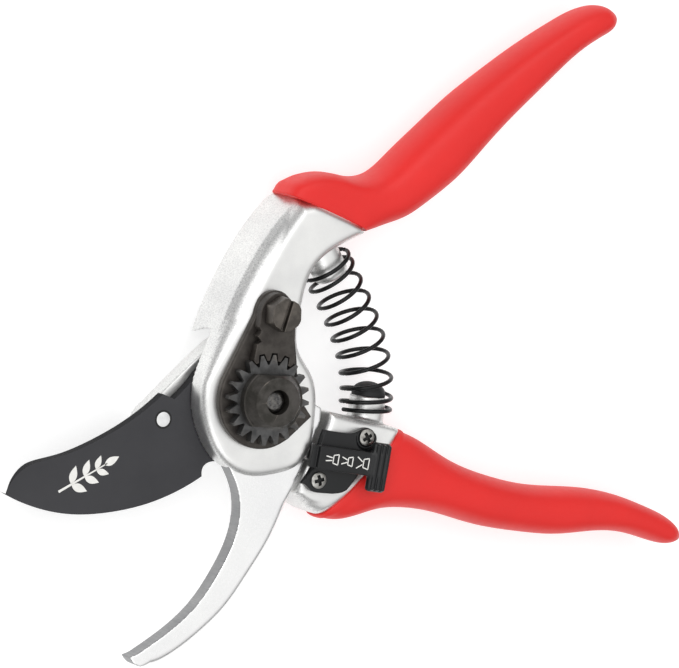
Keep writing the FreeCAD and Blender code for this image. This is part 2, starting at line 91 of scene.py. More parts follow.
def add_node(tree: bpy.types.NodeTree, kind: str, settings: dict | None = None,
             links: dict | None = None) -> bpy.types.Node:
    """Adds one node with its settings and links.

    Args:
        tree: the material's node tree.
        kind: the node's type name.
        settings: sockets by name or index, attributes by name, and "ramp" as (place, colour) pairs.
        links: sockets by name or index, each with its (node, output) source.

    Returns:
        The new node.
    """
    node = tree.nodes.new(kind)
    for name, value in (settings or {}).items():
        if name == "ramp":
            while len(node.color_ramp.elements) < len(value):
                node.color_ramp.elements.new(0.5)
            for element, (place, colour) in zip(node.color_ramp.elements, value):
                element.position = place
                element.color = colour
        elif isinstance(name, int) or name in node.inputs:
            node.inputs[name].default_value = value
        else:
            setattr(node, name, value)
    for name, (source, output) in (links or {}).items():
        tree.links.new(source.outputs[output], node.inputs[name])
    return node


def grey(level: float) -> tuple[float, float, float, float]:
    """Linear grey as RGBA."""
    return (level, level, level, 1.0)


@dataclass(frozen=True)
class Finish:
    """One surface finish: its main colour, a second colour that it drifts to, and its gloss."""

    name: str
    colour: str
    drift: str
    metallic: float
    roughness: float
    drift_mm: float = 9.0
    grain_mm: float = 0.4
    bump: float = 0.15
    bump_mm: float = 0.05
    specular: float = 0.5
    glow: float = 0.0

    def material(self) -> bpy.types.Material:
        """Builds the node material.

        Returns:
            The material, ready to be assigned.
        """
        made = bpy.data.materials.get(self.name)
        if made is not None:
            return made
        made = bpy.data.materials.new(self.name)
        made.use_nodes = True
        tree = made.node_tree
        tree.nodes.clear()
        shader = add_node(tree, "ShaderNodeBsdfPrincipled",
                          {"Metallic": self.metallic, "Roughness": self.roughness,
                           "Specular IOR Level": self.specular, "Emission Color": linear("#FFFFFF"),
                           "Emission Strength": self.glow})
        add_node(tree, "ShaderNodeOutputMaterial", links={"Surface": (shader, "BSDF")})
        place = add_node(tree, "ShaderNodeTexCoord")
        self.dress(tree, shader, place)
        return made

    def cloud(self, tree: bpy.types.NodeTree, place: bpy.types.Node) -> bpy.types.Node:
        """Soft patches that mix the drift colour into the main colour.

        Args:
            tree: the node tree.
            place: the texture coordinates.

        Returns:
            The mix node; its output 2 is the colour.
        """
        noise = add_node(tree, "ShaderNodeTexNoise",
                         {"Scale": per_mm(self.drift_mm), "Detail": 4.0, "Roughness": 0.55},
                         {"Vector": (place, "Object")})
        ramp = add_node(tree, "ShaderNodeValToRGB", {"ramp": [(0.35, grey(0)), (0.65, grey(1))]},
                        {"Fac": (noise, "Fac")})
        return add_node(tree, "ShaderNodeMix",
                        {"data_type": "RGBA", 6: linear(self.colour), 7: linear(self.drift)},
                        {0: (ramp, "Color")})

    def grain(self, tree: bpy.types.NodeTree, place: bpy.types.Node) -> bpy.types.Node:
        """Fine grain of the surface.

        Args:
            tree: the node tree.
            place: the texture coordinates.

        Returns:
            The noise node.
        """
        return add_node(tree, "ShaderNodeTexNoise",
                        {"Scale": per_mm(self.grain_mm), "Detail": 3.0, "Roughness": 0.6},
                        {"Vector": (place, "Object")})

    def tinted(self, tree: bpy.types.NodeTree, colour: bpy.types.Node, second: str,
               amount: tuple[bpy.types.Node, str]) -> bpy.types.Node:
        """Mixes a second colour into the first.

        Args:
            tree: the node tree.
            colour: mix node whose output 2 is the first colour.
            second: the second colour as hex digits.
            amount: node and output that give the second colour's share.

        Returns:
            The mix node; its output 2 is the colour.
        """
        return add_node(tree, "ShaderNodeMix", {"data_type": "RGBA", 7: linear(second)},
                        {0: amount, 6: (colour, 2)})

    def relief(self, tree: bpy.types.NodeTree, shader: bpy.types.Node, colour: bpy.types.Node,
               texture: bpy.types.Node, low: float, high: float) -> None:
        """Links the colour, and the texture that varies the gloss and raises the bump.

        Args:
            tree: the node tree.
            shader: the Principled shader.
            colour: mix node whose output 2 is the colour.
            texture: noise node.
            low: share of the roughness where the texture is 0.
            high: share of the roughness where it is 1.
        """
        tree.links.new(colour.outputs[2], shader.inputs["Base Color"])
        gloss = add_node(tree, "ShaderNodeMapRange",
                         {"To Min": self.roughness * low, "To Max": self.roughness * high},
                         {"Value": (texture, "Fac")})
        tree.links.new(gloss.outputs["Result"], shader.inputs["Roughness"])
        bump = add_node(tree, "ShaderNodeBump", {"Strength": self.bump, "Distance": self.bump_mm * MM},
                        {"Height": (texture, "Fac")})
        tree.links.new(bump.outputs["Normal"], shader.inputs["Normal"])

    def dress(self, tree: bpy.types.NodeTree, shader: bpy.types.Node, place: bpy.types.Node) -> None:
        """Links colour drift, gloss variation and grain bump to the shader.

        Args:
            tree: the node tree.
            shader: the Principled shader.
            place: the texture coordinates.
        """
        self.relief(tree, shader, self.cloud(tree, place), self.grain(tree, place), 0.85, 1.2)


@dataclass(frozen=True)
class BlastedAluminiumPaintedShade(Finish):
    """Die-cast aluminium, blasted and then lightly polished: bright faces with fine grain, and painted shade
    that turns the flanks and ridges grey.
    """

    # Colour of the painted shade on flanks and ridges.
    flank_shade: str = "#8F9092"

    def dress(self, tree: bpy.types.NodeTree, shader: bpy.types.Node, place: bpy.types.Node) -> None:
        """Adds painted shade: a grey speckle, broken up by the grain, where the surface turns away from the
        polished front, greyest on the rounding between flank and front.

        Args:
            tree: the node tree.
            shader: the Principled shader.
            place: the texture coordinates.
        """
        grain = self.grain(tree, place)
        facing = add_node(tree, "ShaderNodeSeparateXYZ", links={"Vector": (place, "Normal")})
        # Painted shade: share of grey by facing, most on the rounding between flank and front, none on the
        # front.
        side = add_node(tree, "ShaderNodeValToRGB",
                        {"ramp": [(0.0, grey(0.34)), (0.3, grey(0.36)), (0.45, grey(0.66)),
                                  (0.74, grey(0.5)), (0.93, grey(0.03))]}, {"Fac": (facing, "Z")})
        speck = add_node(tree, "ShaderNodeMapRange", {"From Min": 0.38, "From Max": 0.68},
                         {"Value": (grain, "Fac")})
        amount = add_node(tree, "ShaderNodeMath", {"operation": "MULTIPLY"},
                          {0: (side, "Color"), 1: (speck, "Result")})
        mixed = self.tinted(tree, self.cloud(tree, place), self.flank_shade, (amount, "Value"))
        self.relief(tree, shader, mixed, grain, 0.8, 1.25)


@dataclass(frozen=True)
class GroundSteel(Finish):
    """Tool steel, satin polished along its faces and ground across its edges, which show fine lines."""

    line_mm: float = 0.35
    line_length_mm: float = 7.0
    line_colour: str = "#86888B"
    shade: float = 0.45

    def dress(self, tree: bpy.types.NodeTree, shader: bpy.types.Node, place: bpy.types.Node) -> None:
        """Adds grinding lines that run along Z on the flanks and faint scratches on the faces.

        Args:
            tree: the node tree.
            shader: the Principled shader.
            place: the texture coordinates.
        """
        across, along = per_mm(self.line_mm), per_mm(self.line_length_mm)
        stretch = add_node(tree, "ShaderNodeMapping", {"Scale": (across, across, along)},
                           {"Vector": (place, "Object")})
        lines = add_node(tree, "ShaderNodeTexNoise", {"Scale": 1.0, "Detail": 3.0, "Roughness": 0.7},
                         {"Vector": (stretch, "Vector")})
        shade = add_node(tree, "ShaderNodeMapRange",
                         {"From Min": 0.3, "From Max": 0.75, "To Max": self.shade},
                         {"Value": (lines, "Fac")})
        mixed = self.tinted(tree, self.cloud(tree, place), self.line_colour, (shade, "Result"))
        self.relief(tree, shader, mixed, lines, 0.7, 1.4)


@dataclass(frozen=True)
class BlackenedSteel(Finish):
    """Steel with a black oxide: brown-black, rubbed through to bare metal along its sharp edges."""

    worn: str = "#8A8178"
    wear: float = 0.5

    def dress(self, tree: bpy.types.NodeTree, shader: bpy.types.Node, place: bpy.types.Node) -> None:
        """Adds worn edges, found where the surface is convex, broken up by grain.

        Args:
            tree: the node tree.
            shader: the Principled shader.
            place: the texture coordinates.
        """
        grain = self.grain(tree, place)
        shape = add_node(tree, "ShaderNodeNewGeometry")
        edge = add_node(tree, "ShaderNodeMapRange",
                        {"From Min": 0.53, "From Max": 0.60, "To Max": self.wear},
                        {"Value": (shape, "Pointiness")})
        broken = add_node(tree, "ShaderNodeMapRange", {"From Min": 0.35, "From Max": 0.6},
                          {"Value": (grain, "Fac")})
        amount = add_node(tree, "ShaderNodeMath", {"operation": "MULTIPLY"},
                          {0: (edge, "Result"), 1: (broken, "Result")})
        mixed = self.tinted(tree, self.cloud(tree, place), self.worn, (amount, "Value"))
        self.relief(tree, shader, mixed, grain, 0.75, 1.3)


# Bright cast faces with grain; painted shade turns the flanks and ridges grey and speckled.
ALUMINIUM = BlastedAluminiumPaintedShade("cast_aluminium_blasted_painted_shade", "#F4F4F2", "#E6E6E5", 1.0, 0.40, drift_mm=14.0,
                             grain_mm=0.34, bump=0.22, bump_mm=0.04)
# Almost white satin face that takes up the light room.
HOOK_STEEL = GroundSteel("tool_steel_polished", "#FDFDFC", "#F6F6F6", 1.0, 0.28, drift_mm=24.0, bump=0.06,
                         bump_mm=0.02, shade=0.10)
# Painted shade with grinding lines: a mid-grey copy of the hook's steel for its walls, with fine lines across
# the edge.
HOOK_WALL_SHADE = GroundSteel("tool_steel_cross_ground_painted_shade", "#A6A6A6", "#989899", 1.0, 0.42, drift_mm=9.0, bump=0.35,
                        bump_mm=0.04, shade=0.5)
# Dark, even, low-gloss face of the blade.
BLADE_COAT = Finish("blade_steel_dark_coated", "#38383B", "#323235", 0.0, 0.5, drift_mm=18.0, grain_mm=0.3,
                    bump=0.06, bump_mm=0.02, specular=0.35)
# The same coat in shade: near-black walls that outline the blade.
BLADE_WALL = Finish("blade_steel_dark_edge", "#2A2A2C", "#232325", 0.0, 0.7, drift_mm=18.0, grain_mm=0.3,
                    bump=0.06, bump_mm=0.02, specular=0.12)
# Saturated red with one broad, soft highlight.
VINYL = Finish("vinyl_dipped_red", "#E8221E", "#DF201C", 0.0, 0.48, drift_mm=26.0, grain_mm=1.3, bump=0.05,
               bump_mm=0.05, specular=0.45)
# Warm black with rubbed edges on the plate and the lock segment.
OXIDE = BlackenedSteel("steel_blackened", "#4C4844", "#3A3633", 0.7, 0.40, drift_mm=3.0, grain_mm=0.35,
                       bump=0.35, bump_mm=0.06)
# Warm black with coarser wear on top of the nut.
OXIDE_DARK = BlackenedSteel("steel_blackened_nut", "#4E4B48", "#35332F", 0.7, 0.36, drift_mm=3.0,
                            grain_mm=0.45, bump=0.45, bump_mm=0.08, wear=0.6)
# Painted highlight: a lighter, neutral grey copy of the nut's blackened steel that lets the teeth stand out.
OXIDE_TEETH_HIGHLIGHT = BlackenedSteel("steel_blackened_teeth_painted_highlight", "#5E5E5E", "#454545", 0.75, 0.40, drift_mm=2.2,
                            grain_mm=0.4, bump=0.4, bump_mm=0.06, wear=0.5)
# Brownest and most worn, on the small round screw.
OXIDE_SCREW = BlackenedSteel("steel_blackened_screw", "#625D57", "#4A4642", 0.8, 0.34, drift_mm=2.6,
                             grain_mm=0.4, bump=0.45, bump_mm=0.08, wear=0.6)
# Smooth near-black wire with narrow highlights.
SPRING_STEEL = Finish("spring_steel_black", "#161617", "#0F0F10", 0.5, 0.30, drift_mm=5.0, grain_mm=0.3,
                      bump=0.12)
# Bare, mottled end of the bolt inside the nut.
BOLT_STEEL = GroundSteel("bolt_end_bare", "#77736D", "#2E2B29", 1.0, 0.38, drift_mm=1.3, bump=0.5,
                         bump_mm=0.08, shade=0.5)
# Black moulding with a fine sheen.
LATCH_PLASTIC = Finish("nylon_moulded_black", "#17181A", "#131415", 0.0, 0.32, drift_mm=7.0, grain_mm=0.22,
                       bump=0.22, bump_mm=0.03, specular=0.35)
# Dull black button without a clear highlight.
RUBBER = Finish("rubber_moulded_black", "#151516", "#101011", 0.0, 0.55, drift_mm=4.0, grain_mm=0.3, bump=0.3)
# Bright screw heads against the black plate.
ZINC = Finish("screw_steel_zinc", "#BDBCB8", "#8F8D88", 1.0, 0.32, drift_mm=1.2, grain_mm=0.25, bump=0.2)
# Painted shadow: near-black for the insides of the screws' cross recesses and the gap round the blade rivet.
RECESS_SHADOW = Finish("recess_painted_shadow", "#0C0C0C", "#070707", 0.0, 0.6, drift_mm=1.0, grain_mm=0.2, bump=0.1)
# Clean silver discs of the rivets and the click pin.
RIVET_STEEL = Finish("rivet_steel_satin", "#F2F2F2", "#E2E2E2", 1.0, 0.36, drift_mm=1.8, grain_mm=0.25,
                     bump=0.1)
# White sheet lit from below, which keeps shadows light.
FLOOR = Finish("floor_acrylic_lit_white", "#C6C6C6", "#C2C2C2", 0.0, 0.9, drift_mm=400.0, grain_mm=5.0,
               bump=0.02, glow=0.6)
# Slightly warm white print.
WHITE_INK = Finish("ink_printed_white", "#F1F0EC", "#E6E5E1", 0.0, 0.5, drift_mm=2.0, grain_mm=0.2, bump=0.1,
                   bump_mm=0.02)


# ------------------------------------------------------------------------------------ mesh tools
def smooth_curve(points: list[tuple[float, ...]], count: int) -> np.ndarray:
    """Natural cubic spline through points, with the chord length as its parameter.

    Between two points the value is the cubic whose second derivative runs straight from one point's to the
    next's. These derivatives solve the tridiagonal system that makes the slopes agree, and are 0 at the ends.

    Args:
        points: the points, in any number of dimensions.
        count: how many samples to return.

    Returns:
        Array of count points.
    """
    p = np.asarray(points, float)
    t = np.concatenate([[0.0], np.cumsum(np.linalg.norm(np.diff(p, axis=0), axis=1))])
    return spline_values(t, p, np.linspace(0.0, t[-1], count))


def spline_values(t: np.ndarray, p: np.ndarray, at: np.ndarray) -> np.ndarray:
    """Values of the natural cubic spline through p(t) at the places in at.

    Args:
        t: increasing parameter of each point.
        p: one row per point.
        at: parameters to evaluate.

    Returns:
        One row per entry of at.
    """
    h = np.diff(t)
    n = len(t)
    system = np.eye(n)
    right = np.zeros_like(p)
    inner = np.arange(1, n - 1)
    system[inner, inner - 1] = h[:-1]
    system[inner, inner] = 2 * (h[:-1] + h[1:])
    system[inner, inner + 1] = h[1:]
    slope = np.diff(p, axis=0) / h[:, None]
    right[1:-1] = 6 * (slope[1:] - slope[:-1])
    bend = np.linalg.solve(system, right)
    k = np.clip(np.searchsorted(t, at, side="right") - 1, 0, n - 2)
    a = (at - t[k])[:, None]
    b = (t[k + 1] - at)[:, None]
    w = h[k][:, None]
    return ((bend[k] * b ** 3 + bend[k + 1] * a ** 3) / (6 * w)
            + (p[k] / w - bend[k] * w / 6) * b + (p[k + 1] / w - bend[k + 1] * w / 6) * a)


def outline(*runs: list[tuple[float, float]]) -> np.ndarray:
    """Closed outline from runs: two points make a straight side, more a smooth one; runs meet in corners.

    Args:
        runs: each run's points; a run starts where the last one ended.

    Returns:
        Array of outline points, without the first repeated at the end.
    """
    parts = []
    for run in runs:
        length = float(np.sum(np.linalg.norm(np.diff(np.asarray(run), axis=0), axis=1)))
        count = 2 if len(run) == 2 else max(6, int(length / 1.2))
        parts.append(smooth_curve(run, count)[:-1])
    return np.concatenate(parts)


def polar(radius: float, degrees: float) -> tuple[float, float]:
    """Point at a radius and direction about the pivot."""
    return (radius * math.cos(math.radians(degrees)), radius * math.sin(math.radians(degrees)))


def rounded(a: np.ndarray, b: np.ndarray) -> np.ndarray:
    """Distance to a corner between two sides: the larger inside, the length of the outward parts outside."""
    return np.minimum(np.maximum(a, b), 0) + np.hypot(np.maximum(a, 0), np.maximum(b, 0))


@dataclass
class Lump:
    """Signed distances on a block of points, negative inside, from which a cast or moulded solid is cut."""

    low: tuple[float, float, float]
    high: tuple[float, float, float]
    step: float = 0.42
    x: np.ndarray = field(init=False)
    y: np.ndarray = field(init=False)
    z: np.ndarray = field(init=False)

    def __post_init__(self) -> None:
        """Lays out the block's axes, shaped so that they broadcast against each other."""
        x, y, z = (np.arange(a, b + self.step, self.step, dtype=np.float32)
                   for a, b in zip(self.low, self.high))
        self.x, self.y, self.z = x[:, None, None], y[None, :, None], z[None, None, :]

    def flat(self, points: np.ndarray) -> np.ndarray:
        """Distance to an outline in the XY plane: to its nearest side, negative where a ray crosses it oddly.

        Args:
            points: the outline's points.

        Returns:
            Array over X and Y with one layer in Z.
        """
        start = points.astype(np.float32)
        way = np.roll(start, -1, axis=0) - start
        size = np.maximum(np.sum(way * way, axis=1), 1e-9)
        result = np.empty((self.x.shape[0], self.y.shape[1]), np.float32)
        for column, x in enumerate(self.x[:, 0, 0]):
            dx = x - start[None, :, 0]
            dy = self.y[0, :, 0][:, None] - start[None, :, 1]
            share = np.clip((dx * way[:, 0] + dy * way[:, 1]) / size, 0, 1)
            near = np.hypot(dx - share * way[:, 0], dy - share * way[:, 1]).min(axis=1)
            end_y = start[:, 1] + way[:, 1]
            row = self.y[0, :, 0][:, None]
            crosses = (start[:, 1] > row) != (end_y > row)
            reach = start[:, 0] + (row - start[:, 1]) * way[:, 0] / np.where(way[:, 1] == 0, 1e-9, way[:, 1])
            odd = np.sum(crosses & (x < reach), axis=1) % 2 == 1
            result[column] = np.where(odd, -near, near)
        return result[:, :, None]

    def slab(self, side: np.ndarray, low: float, high: float, top_round: float | np.ndarray = 0.4,
             bottom_round: float | np.ndarray = 0.4) -> np.ndarray:
        """Outline carried from low to high with rounded rims.

        The rim is a quarter circle: the distance is the length of the outward parts of side + r and
        height + r, minus r.

        Args:
            side: distance to the outline.
            low: bottom height.
            high: top height.
            top_round: rim radius at the top.
            bottom_round: rim radius at the bottom.

        Returns:
            Distance over the whole block.
        """
        faces = []
        for height, radius in ((self.z - high, top_round), (low - self.z, bottom_round)):
            faces.append(rounded(side + radius, height + radius) - radius)
        return np.maximum(faces[0], faces[1])

    def rod(self, start: tuple[float, float, float], end: tuple[float, float, float], radius: float,
            rim: float = 0.4) -> np.ndarray:
        """Cylinder between two points, with rounded rims.

        Args:
            start: centre of one end.
            end: centre of the other.
            radius: the rod's radius.
            rim: rim radius.

        Returns:
            Distance over the whole block.
        """
        way = np.subtract(end, start).astype(np.float32)
        length = float(np.linalg.norm(way))
        way /= length
        dx, dy, dz = self.x - start[0], self.y - start[1], self.z - start[2]
        along = dx * way[0] + dy * way[1] + dz * way[2]
        away = np.sqrt(np.maximum(dx * dx + dy * dy + dz * dz - along * along, 0))
        return rounded(away - radius + rim, np.abs(along - length / 2) - length / 2 + rim) - rim

    def box(self, centre: tuple[float, float, float], half: tuple[float, float, float],
            turn: float) -> np.ndarray:
        """Block with sharp edges, turned about Z by turn degrees.

        Args:
            centre: the middle.
            half: half sizes before turning.
            turn: degrees about Z.

        Returns:
            Distance over the whole block.
        """
        c, s = math.cos(math.radians(turn)), math.sin(math.radians(turn))
        dx, dy = self.x - centre[0], self.y - centre[1]
        a = np.abs(dx * c + dy * s) - half[0]
        b = np.abs(dy * c - dx * s) - half[1]
        return np.maximum(np.maximum(a, b), np.abs(self.z - centre[2]) - half[2])

    def away(self) -> np.ndarray:
        """Distance from the pivot's axis."""
        return np.hypot(self.x, self.y)

    def mesh(self, distance: np.ndarray) -> tuple[np.ndarray, list]:
        """Surface where the distance is 0.

        Args:
            distance: values over the whole block.

        Returns:
            Points in millimetres, and faces.
        """
        shape = (self.x.shape[0], self.y.shape[1], self.z.shape[2])
        values = np.ascontiguousarray(np.broadcast_to(distance, shape), dtype=np.float32)
        band = 3 * self.step
        grid = openvdb.FloatGrid(float(band))
        grid.copyFromArray(np.clip(values, -band, band))
        points, triangles, quads = grid.convertToPolygons(isovalue=0.0, adaptivity=0.0)
        return points * self.step + np.array(self.low), triangles.tolist() + quads.tolist()


def melt(a: np.ndarray, b: np.ndarray, radius: float) -> np.ndarray:
    """Union of two solids with a fillet of about that radius: the smaller distance, lowered near a tie."""
    gap = np.maximum(radius - np.abs(a - b), 0) / radius
    return np.minimum(a, b) - gap * gap * radius / 4


def carve(a: np.ndarray, b: np.ndarray, radius: float = 0.3) -> np.ndarray:
    """Solid a with b taken out and the new rim eased: the larger of a and -b, raised near a tie."""
    gap = np.maximum(radius - np.abs(a + b), 0) / radius
    return np.maximum(a, -b) + gap * gap * radius / 4


def make_object(name: str, points: np.ndarray, faces: list, body: Body | None, finish: Finish,
                nodes: tuple[str, ...] = (), angle: float | None = None) -> bpy.types.Object:
    """Puts a mesh into the scene, dresses it and gives it its body.

    Args:
        name: the object's name.
        points: points in millimetres.
        faces: lists of point indexes.
        body: the body that it rides on, or None.
        finish: its finish.
        nodes: CAD nodes that it stands for.
        angle: edges sharper than this many degrees stay sharp; None makes all smooth.

    Returns:
        The object.
    """
    mesh = bpy.data.meshes.new(name)
    mesh.from_pydata((np.asarray(points) * MM).tolist(), [], faces)
    mesh.validate()
    made = bpy.data.objects.new(name, mesh)
    bpy.context.scene.collection.objects.link(made)
    close_and_face_outwards(made)
    mesh.shade_smooth()
    if angle is not None:
        mesh.set_sharp_from_angle(angle=math.radians(angle))
    settle(made, body, finish, nodes)
    return made


def close_and_face_outwards(made: bpy.types.Object) -> None:
    """Merges doubled points and makes all faces point outwards.

    Args:
        made: the piece.
    """
    shape = bmesh.new()
    shape.from_mesh(made.data)
    bmesh.ops.remove_doubles(shape, verts=shape.verts, dist=1e-7)
    bmesh.ops.recalc_face_normals(shape, faces=shape.faces)
    if shape.calc_volume(signed=True) < 0:
        bmesh.ops.reverse_faces(shape, faces=shape.faces)
    shape.to_mesh(made.data)
    shape.free()


def settle(made: bpy.types.Object, body: Body | None, finish: Finish, nodes: tuple[str, ...]) -> None:
    """Gives a piece its material and its body, and hides the CAD nodes that it stands for.

    Args:
        made: the piece.
        body: the body that it rides on, or None to leave it unattached.
        finish: its finish.
        nodes: CAD nodes that it stands for.
    """
    made.data.materials.clear()
    made.data.materials.append(finish.material())
    if body is not None:
        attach(made, body.value)
    if nodes:
        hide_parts(*nodes)
    log.info("%s: %d points", made.name, len(made.data.vertices))


def softened(node: str, body: Body, finish: Finish, width: float, segments: int = 3,
             angle: float = 35.0) -> bpy.types.Object:
    """Copy of a CAD node with its sharp edges broken, which stands for the node.

    The copy's loose triangles are merged, flat ones are joined into one face, and every edge sharper than the
    angle gets a rounded bevel.

    Args:
        node: the CAD node.
        body: the body that it rides on.
        finish: its finish.
        width: bevel width in millimetres.
        segments: bevel segments.
        angle: edges sharper than this get the bevel, in degrees.

    Returns:
        The new object.
    """
    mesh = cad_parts[node].data.copy()
    mesh.name = node + "_finished"
    made = bpy.data.objects.new(node + "_finished", mesh)
    bpy.context.scene.collection.objects.link(made)
    shape = bmesh.new()
    shape.from_mesh(mesh)
    bmesh.ops.remove_doubles(shape, verts=shape.verts, dist=2e-6)
    bmesh.ops.dissolve_limit(shape, angle_limit=math.radians(1.0), verts=shape.verts, edges=shape.edges)
    bmesh.ops.recalc_face_normals(shape, faces=shape.faces)
    limit = math.radians(angle)
    sharp = [e for e in shape.edges if len(e.link_faces) == 2 and e.calc_face_angle(0.0) > limit]
    bmesh.ops.bevel(shape, geom=sharp, offset=width * MM, segments=segments, profile=0.5, affect="EDGES",
                    clamp_overlap=True)
    bmesh.ops.recalc_face_normals(shape, faces=shape.faces)
    shape.to_mesh(mesh)
    shape.free()
    mesh.shade_smooth()
    mesh.set_sharp_from_angle(angle=math.radians(32.0))
    finisher = made.modifiers.new("even_normals", "WEIGHTED_NORMAL")
    finisher.keep_sharp = True
    settle(made, body, finish, (node,))
    return made


def tube(path: np.ndarray, radius: float, sides: int = 14) -> tuple[np.ndarray, list]:
    """Round wire along a path: rings square to it, each with one axis level, so that they don't twist.

    Args:
        path: points in millimetres.
        radius: the wire's radius.
        sides: points round the wire.

    Returns:
        Points and faces; both ends are closed.
    """
    way = np.gradient(path, axis=0)
    way /= np.linalg.norm(way, axis=1, keepdims=True)
    side = np.cross(way, np.array([0.0, 0.0, 1.0]))
    side /= np.maximum(np.linalg.norm(side, axis=1, keepdims=True), 1e-6)
    up = np.cross(side, way)
    turn = np.linspace(0, 2 * np.pi, sides, endpoint=False)
    rings = (path[:, None, :] + radius * (np.cos(turn)[None, :, None] * side[:, None, :]
                                          + np.sin(turn)[None, :, None] * up[:, None, :]))
    return closed_rings(rings)


def closed_rings(rings: np.ndarray) -> tuple[np.ndarray, list]:
    """Skin over a row of rings, with a face over each end.

    Args:
        rings: array of shape (rings, sides, 3).

    Returns:
        Points and faces.
    """
    rows, sides = rings.shape[:2]
    index = np.arange(rows * sides).reshape(rows, sides)
    after = np.roll(index, -1, axis=1)
    quads = np.stack([index[:-1], after[:-1], after[1:], index[1:]], axis=-1).reshape(-1, 4)
    faces = quads.tolist() + [index[0][::-1].tolist(), index[-1].tolist()]
    return rings.reshape(-1, 3), faces


def repaint(made: bpy.types.Object, finish: Finish, wanted: np.ndarray) -> None:
    """Gives some faces of a piece a second finish.

    Args:
        made: the piece.
        finish: the second finish.
        wanted: True for each face that gets it.
    """
    made.data.materials.append(finish.material())
    index = np.where(wanted, len(made.data.materials) - 1, 0).astype(np.int32)
    made.data.polygons.foreach_set("material_index", index)


def face_values(made: bpy.types.Object, what: str) -> np.ndarray:
    """Normals or centres of all faces, the centres in millimetres.

    Args:
        made: the piece.
        what: "normal" or "center".

    Returns:
        One row per face.
    """
    values = np.empty(len(made.data.polygons) * 3)
    made.data.polygons.foreach_get(what, values)
    return values.reshape(-1, 3) / (MM if what == "center" else 1.0)


# ------------------------------------------------------------------------------------ shared levels
REAR_BOTTOM = 2.6
REAR_TOP = 8.9
BLADE_TOP = 11.9
HOOK_BOTTOM = 12.0
HOOK_TOP = 17.0
HUB_TOP = 19.0
PLATE_TOP = 21.0
GEAR_TOP = 23.5
ARM_BOTTOM = 3.0
LATCH_FACE = 17.5
MID_HEIGHT = 9.5
BORE = 5.0
TURNING_RADIUS = 20.2
SLIDE_ANGLE = -9.5
SLIDE_ORIGIN = (22.0, -16.4)
INK_DEPTH = 0.02
INK_HEIGHT = 0.03
MM_PER_DEGREE = 0.35


def along_slide(s: float, t: float) -> tuple[float, float]:
    """Point from the latch's own coordinates: s along its way, t across it."""
    c, n = math.cos(math.radians(SLIDE_ANGLE)), math.sin(math.radians(SLIDE_ANGLE))
    return (SLIDE_ORIGIN[0] + s * c - t * n, SLIDE_ORIGIN[1] + s * n + t * c)


